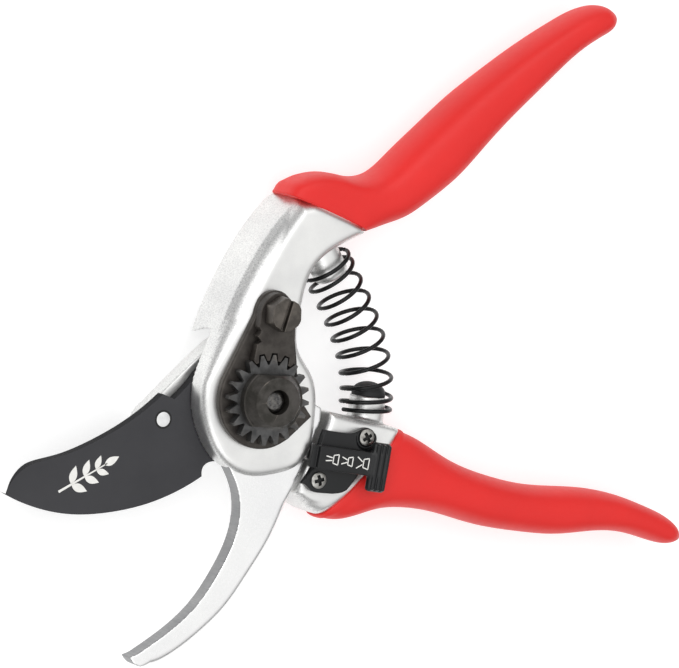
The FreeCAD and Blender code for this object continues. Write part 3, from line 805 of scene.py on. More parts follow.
# ------------------------------------------------------------------------------------ grips
@dataclass
class Grip:
    """Dipped vinyl coat over a handle: ovals across the handle, from its outer point to its inner point."""

    name: str
    body: Body
    stations: list[tuple[tuple[float, float], tuple[float, float], float]]
    rows: int = 220
    sides: int = 96
    squareness: float = 2.3
    rim: float = 1.0
    lip_height: float = 0.42
    lip_length: float = 2.4
    front_square: float = 3.2

    def rings(self) -> np.ndarray:
        """Ovals along the grip: |cos|^(2/n) across and |sin|^(2/n) up, on a spline through the stations.

        The power n is larger near the front of the upper half, where the coat follows the boxier casting.

        Returns:
            Array of rings, in millimetres.
        """
        stations = np.array([[*upper, *lower, half] for upper, lower, half in self.stations], float)
        middle = (stations[:, 0:2] + stations[:, 2:4]) / 2
        t = np.concatenate([[0.0], np.cumsum(np.linalg.norm(np.diff(middle, axis=0), axis=1))])
        share = np.linspace(0.0, 1.0, self.rows)
        at = t[-1] * (1 - (1 - share) ** 1.35)
        row = spline_values(t, stations, at)
        turn = np.linspace(0, 2 * np.pi, self.sides, endpoint=False)
        front = self.front_square * np.exp(-((at / 9.0) ** 2))
        power = 2 / (self.squareness + front[:, None] * (np.sin(turn) > 0))
        across = np.sign(np.cos(turn)) * np.abs(np.cos(turn)) ** power
        up = np.sign(np.sin(turn)) * np.abs(np.sin(turn)) ** power
        centre = np.full((self.rows, 3), MID_HEIGHT)
        centre[:, 0:2] = (row[:, 0:2] + row[:, 2:4]) / 2
        half, rise = np.zeros((self.rows, 3)), np.zeros((self.rows, 3))
        half[:, 0:2] = (row[:, 0:2] - row[:, 2:4]) / 2
        rise[:, 2] = row[:, 4]
        rings = centre[:, None, :] + half[:, None, :] * across[:, :, None] + rise[:, None, :] * up[:, :, None]
        return self.with_rim(self.with_lip(rings, centre))

    def with_lip(self, rings: np.ndarray, centre: np.ndarray) -> np.ndarray:
        """Swells the first millimetres into a low bead that falls off as a smooth step of the way.

        Args:
            rings: the plain rings.
            centre: the middle of each ring.

        Returns:
            The rings with the bead.
        """
        run = np.linalg.norm(centre - centre[0], axis=1)
        x = np.clip((run - self.lip_length * 0.8) / (self.lip_length * 0.4), 0, 1)
        swell = self.lip_height * (1 - x * x * (3 - 2 * x))
        out = rings - centre[:, None, :]
        out /= np.maximum(np.linalg.norm(out, axis=2, keepdims=True), 1e-6)
        return rings + out * swell[:, None, None] * np.array([1.0, 1.0, 0.25])

    def with_rim(self, rings: np.ndarray) -> np.ndarray:
        """Rolls the coat's first edge over: a quarter circle from the open face out to the oval.

        Args:
            rings: the rings with the bead.

        Returns:
            The rings with the rolled edge in front.
        """
        first = rings[0]
        centre = first.mean(axis=0)
        radius = np.linalg.norm(first - centre, axis=1, keepdims=True)
        along = rings[6] - first
        along /= np.linalg.norm(along, axis=1, keepdims=True)
        run = np.linalg.norm(rings.mean(axis=1) - centre, axis=1)
        kept = rings[run > self.rim * 1.05]
        swell = np.linspace(0, np.pi / 2, 9)[:, None, None]
        inset = self.rim * (1 - np.sin(swell))
        rolled = (centre + (first - centre)[None] * (1 - inset / radius[None])
                  + along[None] * self.rim * (1 - np.cos(swell)))
        return np.concatenate([rolled, kept])

    def limit(self, lump: Lump) -> np.ndarray:
        """Room that the coat leaves for its casting: the first oval, wider with each millimetre before it.

        Args:
            lump: the casting's block of points.

        Returns:
            Distance to that room's wall, negative inside.
        """
        upper, lower = (np.array(point) for point in self.stations[0][:2])
        middle, half = (upper + lower) / 2, np.linalg.norm(upper - lower) / 2
        way = (upper - lower) / (2 * half)
        dx, dy = lump.x - middle[0], lump.y - middle[1]
        onward = np.sum(self.stations[1][:2], axis=0) / 2 - middle
        normal = np.array([-way[1], way[0]]) * np.sign(onward @ np.array([-way[1], way[0]]))
        ahead = np.maximum(-(dx * normal[0] + dy * normal[1]), 0)
        power = self.squareness + self.front_square * (lump.z > MID_HEIGHT)
        across = np.abs(dx * way[0] + dy * way[1]) / half
        oval = (across ** power + np.abs((lump.z - MID_HEIGHT) / self.stations[0][2]) ** power) ** (1 / power)
        return 9.0 * (oval - 1) + 0.3 - 1.2 * ahead

    def build(self) -> bpy.types.Object:
        """Makes the grip and puts it in the place of its CAD node."""
        points, faces = closed_rings(self.rings())
        return make_object(self.name + "_coat", points, faces, self.body, VINYL, (self.name,), angle=70)


# ------------------------------------------------------------------------------------ upper handle
@dataclass
class Handle:
    """What the handles share: a round peg that holds one end of the spring."""

    peg_radius: float
    peg_start: tuple[float, float]
    peg_angle: float
    peg_length: float

    def peg_way(self) -> np.ndarray:
        """Unit vector along the peg."""
        return np.array([*polar(1.0, self.peg_angle), 0.0])

    def on_peg(self, reach: float) -> np.ndarray:
        """Point on the peg's axis, reach millimetres from its start."""
        return np.array([*self.peg_start, MID_HEIGHT]) + reach * self.peg_way()


@dataclass
class UpperHandle(Handle):
    """Casting with the hub and the thick arm, the steel hook in its back, its rivets, and the upper grip."""

    peg_radius: float = 4.6
    peg_start: tuple[float, float] = (20.8, 36.8)
    peg_angle: float = -60.0
    peg_length: float = 8.9
    hub_round: float = 2.6
    arm_round: float = 4.8
    draft: float = 0.24
    draft_from: float = 5.0
    rear_start: float = 14.9
    pocket_gap: float = 0.1
    clearing_radius: float = 17.4
    clearing_middle: float = -24.0
    clearing_half: float = 38.0

    def outline(self) -> np.ndarray:
        """The hub and the arm, seen from the front; the arm runs on a little way under the grip.

        Returns:
            The outline's points.
        """
        return outline(
            [(-13.2, 14.6), (-15.5, 6.8), (-16.4, 0.0), (-14.8, -8.0), (-9.4, -16.4), (-3.0, -19.9),
             (5.6, -20.0), (12.4, -17.9), (14.9, -15.2), (16.4, -10.6), (17.0, -4.5), (15.8, 4.6),
             (11.2, 12.4), (11.0, 18.1), (12.3, 24.6), (13.8, 29.8), (16.6, 33.9), (22.3, 37.7),
             (27.6, 40.0)],
            [(27.6, 40.0), (30.4, 40.9)],
            [(30.4, 40.9), (30.4, 43.6)],
            [(30.4, 43.6), (10.6, 52.0)],
            [(10.6, 52.0), (6.2, 48.0), (-0.6, 39.9), (-7.4, 28.6), (-12.0, 18.2), (-13.2, 14.6)],
        )

    def casting(self) -> bpy.types.Object:
        """Cuts the casting: a rounded front slab, a rear slab outside the turning circle, peg and pocket.

        Next to the grip it is held inside the coat's oval, which opens with the distance from the coat.

        Returns:
            The casting.
        """
        lump = Lump((-18.5, -22.5, 2.0), (32.0, 53.5, 20.2), 0.4)
        up_arm = np.clip((lump.y - 4.0) / 16.0, 0, 1)
        outer = up_arm * np.clip((2.5 + 0.5 * (lump.y - 18) - lump.x) / 8.0, 0, 1)
        rim = self.hub_round + (self.arm_round - self.hub_round) * outer
        drafted = lump.flat(self.outline()) + self.draft * outer * np.maximum(lump.z - self.draft_from, 0)
        front = lump.slab(drafted, HOOK_BOTTOM - 1.0, HUB_TOP, rim, 0.3)
        front = np.maximum(front, HOOK_BOTTOM - lump.z)
        rear = lump.slab(drafted, ARM_BOTTOM, HOOK_BOTTOM + 3.0, 0.3, 2.6)
        rear = np.maximum(np.maximum(rear, TURNING_RADIUS - lump.away()), self.rear_start - lump.y)
        solid = carve(melt(front, rear, 0.6), -self.grip().limit(lump), 1.0)
        peg = lump.rod(self.on_peg(0.0), self.on_peg(self.peg_length), self.peg_radius, 1.3)
        solid = melt(solid, peg, 0.9)
        pocket = np.maximum(lump.flat(hook_outline()) - self.pocket_gap, lump.z - HOOK_TOP - 0.05)
        turn = np.degrees(np.arctan2(lump.y, lump.x))
        arc = (np.abs(turn - self.clearing_middle) - self.clearing_half) * MM_PER_DEGREE
        clearing = np.maximum(np.maximum(self.clearing_radius - lump.away(), arc), lump.z - HOOK_TOP)
        solid = carve(carve(solid, pocket), clearing)
        solid = carve(solid, lump.away() - BORE)
        return make_object("hook_arm_casting", *lump.mesh(solid), Body.HOOK_ARM, ALUMINIUM,
                           ("hook_arm_forging",))

    def hook(self) -> bpy.types.Object:
        """Steel hook: crisp along its inner, working side and well rounded along its outer side.

        Returns:
            The hook.
        """
        lump = Lump((-35.5, -68.4, 11.4), (20.0, 16.0, 17.6), 0.3)
        spine = smooth_curve([(4.6, -18.0), (2.9, -32.0), (-5.5, -45.5), (-17.0, -56.5), (-31.0, -65.0)], 60)
        place = np.interp(-lump.y, -spine[:, 1], spine[:, 0])
        outer = np.clip((lump.x - place) / 3.0, 0, 1) * np.clip((-20.0 - lump.y) / 8.0, 0, 1)
        side = lump.flat(hook_outline())
        solid = lump.slab(side, HOOK_BOTTOM, HOOK_TOP, 0.35 + 1.9 * outer, 0.35 + 0.5 * outer)
        notch = lump.box((*along_slide(-4.3, 0.6), 14.5), (6.3, 1.9, 4.0), SLIDE_ANGLE)
        solid = np.maximum(np.maximum(solid, BORE - lump.away()), -notch)
        made = make_object("hook_blade_ground", *lump.mesh(solid), Body.HOOK_ARM,
                           HOOK_STEEL, ("hook_blade",), angle=40)
        normal, centre = face_values(made, "normal"), face_values(made, "center")
        left = centre[:, 0] < np.interp(-centre[:, 1], -spine[:, 1], spine[:, 0])
        wall = np.abs(normal[:, 2]) < 0.6
        # Painted shade: walls on the inner side and at the root get the mid-grey copy of the steel.
        repaint(made, HOOK_WALL_SHADE, wall & (left | (centre[:, 1] > -20.0)))
        return made

    def grip(self) -> Grip:
        """The upper grip.

        Returns:
            The grip.
        """
        return Grip("upper_grip", Body.HOOK_ARM, [
            ((8.2, 51.0), (30.3, 41.8), 8.9), ((10.8, 53.7), (31.2, 41.3), 9.0),
            ((15.4, 55.6), (32.5, 41.3), 9.0), ((21.0, 56.1), (35.0, 41.7), 9.0),
            ((27.4, 55.0), (39.0, 42.6), 9.08),
            ((34.6, 55.4), (44.0, 44.1), 9.2), ((42.4, 60.9), (50.9, 48.0), 9.22),
            ((50.8, 68.1), (59.4, 54.0), 9.2), ((59.6, 75.3), (67.4, 61.8), 9.1),
            ((68.6, 81.6), (75.2, 69.2), 8.7),
            ((79.7, 88.7), (85.9, 78.4), 8.2), ((91.6, 95.3), (96.6, 87.0), 7.6),
            ((100.2, 98.75), (103.9, 91.0), 6.8), ((104.4, 98.75), (106.6, 92.6), 5.4),
            ((107.2, 97.4), (108.3, 94.2), 2.8)])

    def build(self) -> None:
        """Makes the casting, the grip, the hook and its rivets."""
        self.casting()
        self.grip().build()
        self.hook()
        for number in (1, 2):
            softened(f"hook_rivet_{number}", Body.HOOK_ARM, RIVET_STEEL, 0.2)


def hook_outline() -> np.ndarray:
    """The steel hook with its root, seen from the front.

    Returns:
        The outline's points.
    """
    root = [polar(14.5, 10 + 215 * i / 9) for i in range(10)]
    return outline(
        [(-7.3, -17.8), (-5.0, -22.4), (-3.9, -28.4), (-5.4, -36.5), (-9.4, -44.2), (-15.4, -52.2),
         (-23.6, -58.8), (-32.2, -63.8)],
        [(-32.2, -63.8), (-34.2, -64.4)],
        [(-34.2, -64.4), (-32.6, -66.3), (-28.6, -67.1), (-22.3, -65.1), (-13.9, -59.8), (-6.8, -53.8),
         (0.0, -45.2), (5.6, -37.0), (9.6, -28.6), (13.7, -18.6)],
        [(13.7, -18.6), (17.0, -11.7)],
        [(17.0, -11.7), (18.8, -6.6)],
        [(18.8, -6.6), (18.9, -3.6)],
        [(18.9, -3.6), (17.1, -2.6)],
        [(17.1, -2.6)] + root + [(-7.3, -17.8)],
    )


# ------------------------------------------------------------------------------------ lower handle
@dataclass
class LowerHandle(Handle):
    """Casting with the rear hub, the arm, the latch seat and the peg, with blade, bumper and grip."""

    peg_radius: float = 4.7
    peg_start: tuple[float, float] = (36.3, -8.0)
    peg_angle: float = 83.0
    peg_length: float = 6.0
    bumper_radius: float = 4.4
    rivet_spot: tuple[float, float] = (-23.8, -5.4)

    def body_outline(self) -> np.ndarray:
        """The full-height part between the hub and the grip.

        Returns:
            The outline's points.
        """
        return outline(
            [(18.4, -13.0), (20.9, -7.8), (21.7, -4.7)],
            [(21.7, -4.7), (26.0, -5.8), (31.0, -7.1), (37.0, -8.3), (44.4, -10.6)],
            [(44.4, -10.6), (46.0, -12.2)],
            [(46.0, -12.2), (27.6, -29.4)],
            [(27.6, -29.4), (25.8, -30.7), (23.6, -31.5), (21.0, -31.7), (18.2, -30.7), (14.8, -28.3),
             (12.2, -25.2)],
            [(12.2, -25.2), (14.9, -18.6)],
            [(14.9, -18.6), (18.4, -13.0)],
        )

    def rear_outline(self) -> np.ndarray:
        """The thin rear hub and the arm that the blade is riveted to.

        Returns:
            The outline's points.
        """
        return outline(
            [(-8.2, 13.4), (-17.3, 5.9), (-28.4, -4.2)],
            [(-28.4, -4.2), (-28.9, -5.6), (-27.4, -8.6), (-22.6, -11.0), (-15.0, -12.2), (-8.0, -15.4),
             (4.0, -17.0), (13.0, -20.8)],
            [(13.0, -20.8), (22.0, -15.0)],
            [(22.0, -15.0), (22.0, -9.0)],
            [(22.0, -9.0), (20.6, -4.4), (16.2, 3.8), (9.0, 13.6), (0.0, 16.4), (-8.2, 13.4)],
        )

    def casting(self) -> bpy.types.Object:
        """Cuts the casting: two slabs melted together, the peg, and the channel for the latch's tongue.

        Returns:
            The casting.
        """
        lump = Lump((-30.5, -34.5, 1.6), (48.0, 18.5, 18.6), 0.4)
        edge = 1.0 + 1.4 * np.clip((lump.y + 14.0) / 6.0, 0, 1) + 3.4 * np.clip((-23.0 - lump.y) / 5.0, 0, 1)
        body = lump.slab(lump.flat(self.body_outline()), REAR_BOTTOM, LATCH_FACE, edge, 2.4)
        rear = lump.slab(lump.flat(self.rear_outline()), REAR_BOTTOM, REAR_TOP, 0.5, 1.3)
        solid = carve(melt(body, rear, 1.5), -self.grip().limit(lump), 1.0)
        peg = lump.rod(self.on_peg(-4.0), self.on_peg(self.peg_length), self.peg_radius, 0.35)
        solid = melt(solid, peg, 0.8)
        channel = lump.box((*along_slide(-1.5, 0.6), 16.0), (8.4, 1.9, 2.8), SLIDE_ANGLE)
        solid = carve(carve(solid, channel), lump.away() - BORE)
        return make_object("blade_arm_casting", *lump.mesh(solid), Body.BLADE_ARM,
                           ALUMINIUM, ("blade_arm_forging",))

    def grip(self) -> Grip:
        """The lower grip.

        Returns:
            The grip.
        """
        return Grip("lower_grip", Body.BLADE_ARM, [
            ((43.7, -10.6), (20.6, -32.0), 8.3), ((49.4, -12.9), (27.4, -33.5), 8.6),
            ((54.2, -15.5), (36.6, -31.8), 9.0), ((60.0, -19.0), (45.6, -31.4), 9.23),
            ((66.6, -22.1), (56.4, -33.2), 9.1), ((75.2, -25.0), (69.4, -37.1), 8.9),
            ((84.4, -27.3), (81.8, -39.6), 8.5), ((93.8, -28.5), (93.6, -41.1), 8.2),
            ((105.0, -29.6), (103.6, -41.0), 7.9), ((115.0, -31.9), (112.0, -41.2), 7.6),
            ((124.0, -35.3), (120.2, -42.9), 7.0), ((130.6, -38.5), (127.2, -45.1), 6.2),
            ((134.0, -41.4), (131.6, -45.7), 4.6), ((135.4, -43.4), (134.4, -45.3), 2.2)], front_square=1.0)

    def bumper(self) -> bpy.types.Object:
        """Rubber button on the peg: a short straight rim, then a low dome that is a cosine arc across.

        Returns:
            The bumper.
        """
        side = np.array([*polar(1.0, self.peg_angle - 90.0), 0.0])
        slope = np.linspace(0.12, np.pi / 2 - 0.01, 14)
        radius = self.bumper_radius * np.concatenate([[0.96, 1.0], np.cos(slope)])
        height = np.concatenate([[0.02, 0.12], 0.75 + 3.0 * np.sin(slope)])
        turn = np.linspace(0, 2 * np.pi, 56, endpoint=False)
        ring = np.cos(turn)[:, None] * side + np.sin(turn)[:, None] * np.array([0.0, 0.0, 1.0])
        rings = (self.on_peg(self.peg_length) + height[:, None, None] * self.peg_way()
                 + radius[:, None, None] * ring[None])
        points, faces = closed_rings(rings)
        return make_object("bumper_button", points, faces, Body.BLADE_ARM, RUBBER, ("bumper",), angle=60)

    def blade_rivet(self) -> None:
        """Makes the rivet that ends flush in the blade, and a thin near-black ring round it: painted shadow
        in the gap of its countersink.
        """
        rivet = self.turned([(3.0, 1.62), (3.4, 1.8), (3.4, 2.6), (2.15, 2.6), (2.15, 9.0), (1.95, 9.0),
                             (1.95, BLADE_TOP - 0.02), (1.8, BLADE_TOP + 0.04), (0.9, BLADE_TOP + 0.05)])
        gap = self.turned([(1.9, BLADE_TOP - 0.15), (2.45, BLADE_TOP - 0.15), (2.4, BLADE_TOP + 0.012),
                           (1.98, BLADE_TOP + 0.012)])
        make_object("blade_rivet_turned", *rivet, Body.BLADE_ARM, RIVET_STEEL, ("blade_rivet",), angle=40)
        make_object("blade_rivet_painted_shadow_ring", *gap, Body.BLADE_ARM, RECESS_SHADOW, angle=40)

    def turned(self, profile: list[tuple[float, float]]) -> tuple[np.ndarray, list]:
        """Solid of revolution about the blade rivet's axis.

        Args:
            profile: radius and height of each ring.

        Returns:
            Points and faces.
        """
        spot, turn = np.array(self.rivet_spot), np.linspace(0, 2 * np.pi, 64, endpoint=False)
        circle = np.stack([np.cos(turn), np.sin(turn)], axis=1)
        rings = [np.insert(spot + radius * circle, 2, height, axis=1) for radius, height in profile]
        return closed_rings(np.array(rings))

    def leaf_mark(self) -> bpy.types.Object:
        """Generic sprig printed on the blade: a stem with three pairs of leaves, each a pointed oval.

        Returns:
            The printed mark.
        """
        origin, turn = np.array([-45.0, -18.6]), math.radians(26.0)
        axes = np.array([[math.cos(turn), math.sin(turn)], [-math.sin(turn), math.cos(turn)]])
        shapes = [leaf(np.array([s, 0.25 * g]), length, g * lean) for s, length, lean in
                  ((-4.6, 4.6, 48.0), (-0.6, 4.2, 46.0), (3.0, 3.6, 42.0)) for g in (-1, 1)]
        shapes.append(leaf(np.array([5.6, 0.0]), 4.4, 0.0))
        stem_x = np.linspace(-8.5, 6.4, 24)
        stem_w = 0.32 - 0.012 * (stem_x + 8.5)
        shapes.append(np.concatenate([np.stack([stem_x, stem_w], 1), np.stack([stem_x, -stem_w], 1)[::-1]]))
        points, faces = [], []
        for shape in shapes:
            add_printed(points, faces, origin + shape @ axes, BLADE_TOP)
        return make_object("blade_leaf_mark", np.array(points), faces, Body.BLADE_ARM, WHITE_INK, angle=40)

    def build(self) -> None:
        """Makes the casting, the grip, the blade, its rivet and mark, and the bumper."""
        self.casting()
        self.grip().build()
        blade = softened("cutting_blade", Body.BLADE_ARM, BLADE_COAT, 0.2, 2, 30.0)
        # Painted shade: faces that turn away from the front get the darker copy of the coat.
        repaint(blade, BLADE_WALL, face_values(blade, "normal")[:, 2] < 0.75)
        self.blade_rivet()
        self.bumper()
        self.leaf_mark()


def leaf(root: np.ndarray, length: float, lean: float) -> np.ndarray:
    """Pointed oval: half width is a sine of the place along it, narrowed towards the tip.

    Args:
        root: where the leaf starts.
        length: its length.
        lean: degrees that it turns from the stem.

    Returns:
        Its outline.
    """
    u = np.linspace(0, 1, 18)
    half = 0.23 * length * np.sin(np.pi * u ** 0.8)
    shape = np.concatenate([np.stack([u * length, half], 1), np.stack([u * length, -half], 1)[::-1][1:-1]])
    c, s = math.cos(math.radians(lean)), math.sin(math.radians(lean))
    return root + shape @ np.array([[c, s], [-s, c]])


def add_printed(points: list, faces: list, flat: np.ndarray, height: float) -> None:
    """Adds a thin printed patch with the given outline.

    Args:
        points: list that the patch's points are added to.
        faces: list that its faces are added to.
        flat: the outline.
        height: height of the surface that it is printed on.
    """
    first, count = len(points), len(flat)
    for z in (height - INK_DEPTH, height + INK_HEIGHT):
        points.extend([float(x), float(y), z] for x, y in flat)
    low = list(range(first, first + count))
    high = [i + count for i in low]
    faces.append(low[::-1])
    faces.append(high)
    faces.extend([low[i], low[(i + 1) % count], high[(i + 1) % count], high[i]] for i in range(count))


# ------------------------------------------------------------------------------------ pivot
@dataclass
class PivotStack:
    """Bolt, toothed nut, teardrop plate, lock segment and its screw."""

    edge: float = 0.22
    plate_radius: float = 12.8

    def plate(self) -> bpy.types.Object:
        """Teardrop plate with one straight corner, pressed from sheet, so that its upper rim is rounded.

        Returns:
            The plate.
        """
        lump = Lump((-13.6, -13.6, 18.5), (14.8, 28.2, 21.5), 0.16)
        ring = [polar(self.plate_radius, 156 + 148 * i / 8) for i in range(9)]
        side = lump.flat(outline(
            ring,
            [ring[-1], (13.9, -5.1)],
            [(13.9, -5.1), (9.8, 0.5)],
            [(9.8, 0.5), (9.2, 9.0)],
            [(9.2, 9.0), (7.5, 22.0)],
            [(7.5, 22.0), (6.0, 25.9), (2.2, 27.4), (-1.4, 25.8), (-3.2, 21.4)],
            [(-3.2, 21.4), ring[0]],
        ))
        solid = np.maximum(lump.slab(side, HUB_TOP, PLATE_TOP, 0.55, 0.1), BORE - lump.away())
        return make_object("nut_plate_pressed", *lump.mesh(solid), Body.HOOK_ARM, OXIDE,
                           ("nut_plate",))

    def build(self) -> None:
        """Makes the five pieces with broken edges."""
        softened("pivot_bolt", Body.HOOK_ARM, BOLT_STEEL, 0.3)
        nut = softened("pivot_nut", Body.HOOK_ARM, OXIDE_DARK, self.edge)
        # Painted highlight: the teeth and every face below the nut's top get the lighter grey copy.
        repaint(nut, OXIDE_TEETH_HIGHLIGHT, face_values(nut, "center")[:, 2] < GEAR_TOP + 0.05)
        self.plate()
        softened("lock_segment", Body.HOOK_ARM, OXIDE, self.edge)
        softened("segment_screw", Body.HOOK_ARM, OXIDE_SCREW, self.edge)


# ------------------------------------------------------------------------------------ return spring
@dataclass
class ReturnSpring:
    """Compression spring between the pegs; its axis curves about the pivot, its lower turns lie closed."""

    wire: float = 0.55
    coil: float = 6.5
    turns: float = 10.0
    knots: tuple = (0.0, 1.1, 2.2, 8.4, 10.0)
    shares: tuple = (0.0, 0.055, 0.165, 0.91, 1.0)
    route: tuple = ((36.2, -5.9), (36.5, -0.4), (35.2, 8.0), (31.9, 16.8), (27.2, 25.6), (22.4, 33.7))

    def path(self) -> np.ndarray:
        """Helix: from the axis, coil times the cosine sideways and coil times the sine upwards.

        Returns:
            Points along the wire's centre.
        """
        count = int(self.turns * 36) + 1
        turned = np.linspace(0, self.turns, count)
        share = np.interp(turned, self.knots, self.shares)
        padded = np.pad(share, 6, mode="reflect", reflect_type="odd")
        share = np.convolve(padded, np.full(13, 1 / 13), mode="valid")
        route = np.asarray(self.route, float)
        t = np.concatenate([[0.0], np.cumsum(np.linalg.norm(np.diff(route, axis=0), axis=1))])
        at, tiny = share * t[-1], 0.05
        place = spline_values(t, route, at)
        ahead = (spline_values(t, route, np.minimum(at + tiny, t[-1]))
                 - spline_values(t, route, np.maximum(at - tiny, 0.0)))
        ahead /= np.linalg.norm(ahead, axis=1, keepdims=True)
        side = np.stack([-ahead[:, 1], ahead[:, 0]], axis=1)
        angle = 2 * np.pi * turned
        flat = place + side * (self.coil * np.cos(angle))[:, None]
        return np.concatenate([flat, (MID_HEIGHT + self.coil * np.sin(angle))[:, None]], axis=1)

    def build(self) -> bpy.types.Object:
        """Makes the spring, attached to neither handle, and bakes its place into the mesh.

        Returns:
            The spring.
        """
        points, faces = tube(self.path(), self.wire, 16)
        made = make_object("return_spring_wire", points, faces, None, SPRING_STEEL, ("return_spring",),
                           angle=70)
        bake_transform(made)
        return made


# ------------------------------------------------------------------------------------ latch
@dataclass
class Latch:
    """Black base plate with two cross-head screws, click pin, and the slider with its printed signs."""

    bar_top: float = 22.3
    sign_line: float = 0.28
    screw_radius: float = 2.15
    screw_base: float = 19.5
    dome_centre: float = 15.5
    dome_radius: float = 4.95

    def signs(self) -> bpy.types.Object:
        """Three plain signs for shut, half open and wide open: a block and two strokes that spread further.

        Returns:
            The printed signs.
        """
        points, faces = [], []
        for place, spread, size in ((-2.2, 8.0, 1.0), (2.2, 20.0, 0.9), (6.8, 34.0, 1.05)):
            for side in (-1, 1):
                self.stroke(points, faces, place - 0.3 * size, 0.35 * side * size, 1.9 * size,
                            180 - side * spread)
            corners = [(0.0, -1.0), (1.5, -1.35), (1.5, 1.35), (0.0, 1.0)]
            for first, last in zip(corners, corners[1:] + corners[:1]):
                way = math.degrees(math.atan2(last[1] - first[1], last[0] - first[0]))
                self.stroke(points, faces, place + first[0] * size, first[1] * size,
                            math.dist(first, last) * size, way)
        return make_object("latch_signs", np.array(points), faces, Body.SLIDER, WHITE_INK, angle=40)

    def stroke(self, points: list, faces: list, s: float, t: float, length: float, lean: float) -> None:
        """Adds a straight printed stroke.

        Args:
            points: list that points are added to.
            faces: list that faces are added to.
            s: start along the slide.
            t: start across it.
            length: the stroke's length.
            lean: degrees from the slide's way.
        """
        c, n = math.cos(math.radians(lean)), math.sin(math.radians(lean))
        half = self.sign_line / 2
        corners = [(0, -half), (length, -half), (length, half), (0, half)]
        flat = [along_slide(s + a * c - b * n, t + a * n + b * c) for a, b in corners]
        add_printed(points, faces, np.array(flat), self.bar_top)

    def block(self, lump: Lump, s: tuple[float, float], t: tuple[float, float], z: tuple[float, float],
              rim: float) -> np.ndarray:
        """Block along the slide with rounded edges: the box shrunk by the rim, then grown by it.

        Args:
            lump: the block of points.
            s: from and to along the slide.
            t: from and to across it.
            z: bottom and top.
            rim: edge radius.

        Returns:
            Distance over the whole block of points.
        """
        c, n = math.cos(math.radians(SLIDE_ANGLE)), math.sin(math.radians(SLIDE_ANGLE))
        dx, dy = lump.x - SLIDE_ORIGIN[0], lump.y - SLIDE_ORIGIN[1]
        gaps = [np.abs(value - (span[0] + span[1]) / 2) - (span[1] - span[0]) / 2 + rim
                for value, span in ((dx * c + dy * n, s), (dy * c - dx * n, t), (lump.z, z))]
        outside = np.sqrt(sum(np.maximum(gap, 0) ** 2 for gap in gaps))
        return outside + np.minimum(np.maximum(np.maximum(gaps[0], gaps[1]), gaps[2]), 0) - rim

    def slider(self) -> bpy.types.Object:
        """Slider: bar with a step at its front end, T head with three ridges, and the tongue below.

        Returns:
            The slider.
        """
        lump = Lump((12.6, -26.6, 13.2), (38.4, -7.8, 23.7), 0.16)
        solid = self.block(lump, (-6.4, 10.5), (-3.05, 3.05), (19.7, self.bar_top), 0.4)
        solid = melt(solid, self.block(lump, (-8.0, -5.0), (-2.9, 2.9), (19.7, 21.2), 0.3), 0.2)
        solid = melt(solid, self.block(lump, (9.2, 14.2), (-3.0, 3.0), (19.7, 22.8), 0.6), 0.5)
        solid = melt(solid, self.block(lump, (9.0, 14.2), (-6.9, 5.8), (20.8, 22.8), 0.8), 0.8)
        for place in (10.3, 11.9, 13.4):
            low, high = along_slide(place, -6.5), along_slide(place, 5.4)
            solid = melt(solid, lump.rod((*low, 22.75), (*high, 22.75), 0.62, 0.5), 0.25)
        solid = np.minimum(solid, self.block(lump, (0.9, 6.2), (-1.5, 2.1), (16.6, 20.0), 0.15))
        solid = np.minimum(solid, self.block(lump, (-4.6, 6.2), (-0.9, 2.1), (13.5, 16.7), 0.15))
        return make_object("latch_slider_moulded", *lump.mesh(solid), Body.SLIDER,
                           LATCH_PLASTIC, ("latch_slider",))

    def base(self) -> bpy.types.Object:
        """Base plate with a raised seat round the upper screw and a slot for the tongue.

        Returns:
            The base plate.
        """
        lump = Lump((12.2, -26.2, 17.1), (35.2, -8.0, 20.8), 0.16)
        side = lump.flat(outline(
            [(17.4, -13.0), (18.9, -8.9)],
            [(18.9, -8.9), (24.6, -9.9), (28.4, -9.8), (31.4, -8.9), (34.0, -11.2), (33.6, -14.4),
             (31.2, -17.6)],
            [(31.2, -17.6), (28.6, -21.7)],
            [(28.6, -21.7), (26.9, -23.6), (25.6, -24.9), (23.9, -25.4), (21.6, -25.5)],
            [(21.6, -25.5), (17.3, -25.0)],
            [(17.3, -25.0), (15.2, -24.3), (13.9, -23.0), (12.8, -22.4)],
            [(12.8, -22.4), (15.8, -18.4)],
            [(15.8, -18.4), (17.4, -13.0)],
        ))
        solid = lump.slab(side, 17.5, 19.5, 0.35, 0.1)
        upper = np.hypot(lump.x - along_slide(8.0, 6.5)[0], lump.y - along_slide(8.0, 6.5)[1])
        seat = np.maximum(np.abs(upper - 2.75) - 0.25, np.abs(lump.z - 19.4) - 0.5)
        solid = melt(solid, np.maximum(seat, side + 0.1), 0.3)
        slot = self.block(lump, (-8.0, 6.6), (-1.9, 2.5), (16.0, 19.55), 0.1)
        solid = carve(solid, slot, 0.2)
        return make_object("latch_base_moulded", *lump.mesh(solid), Body.BLADE_ARM,
                           LATCH_PLASTIC, ("latch_base",))

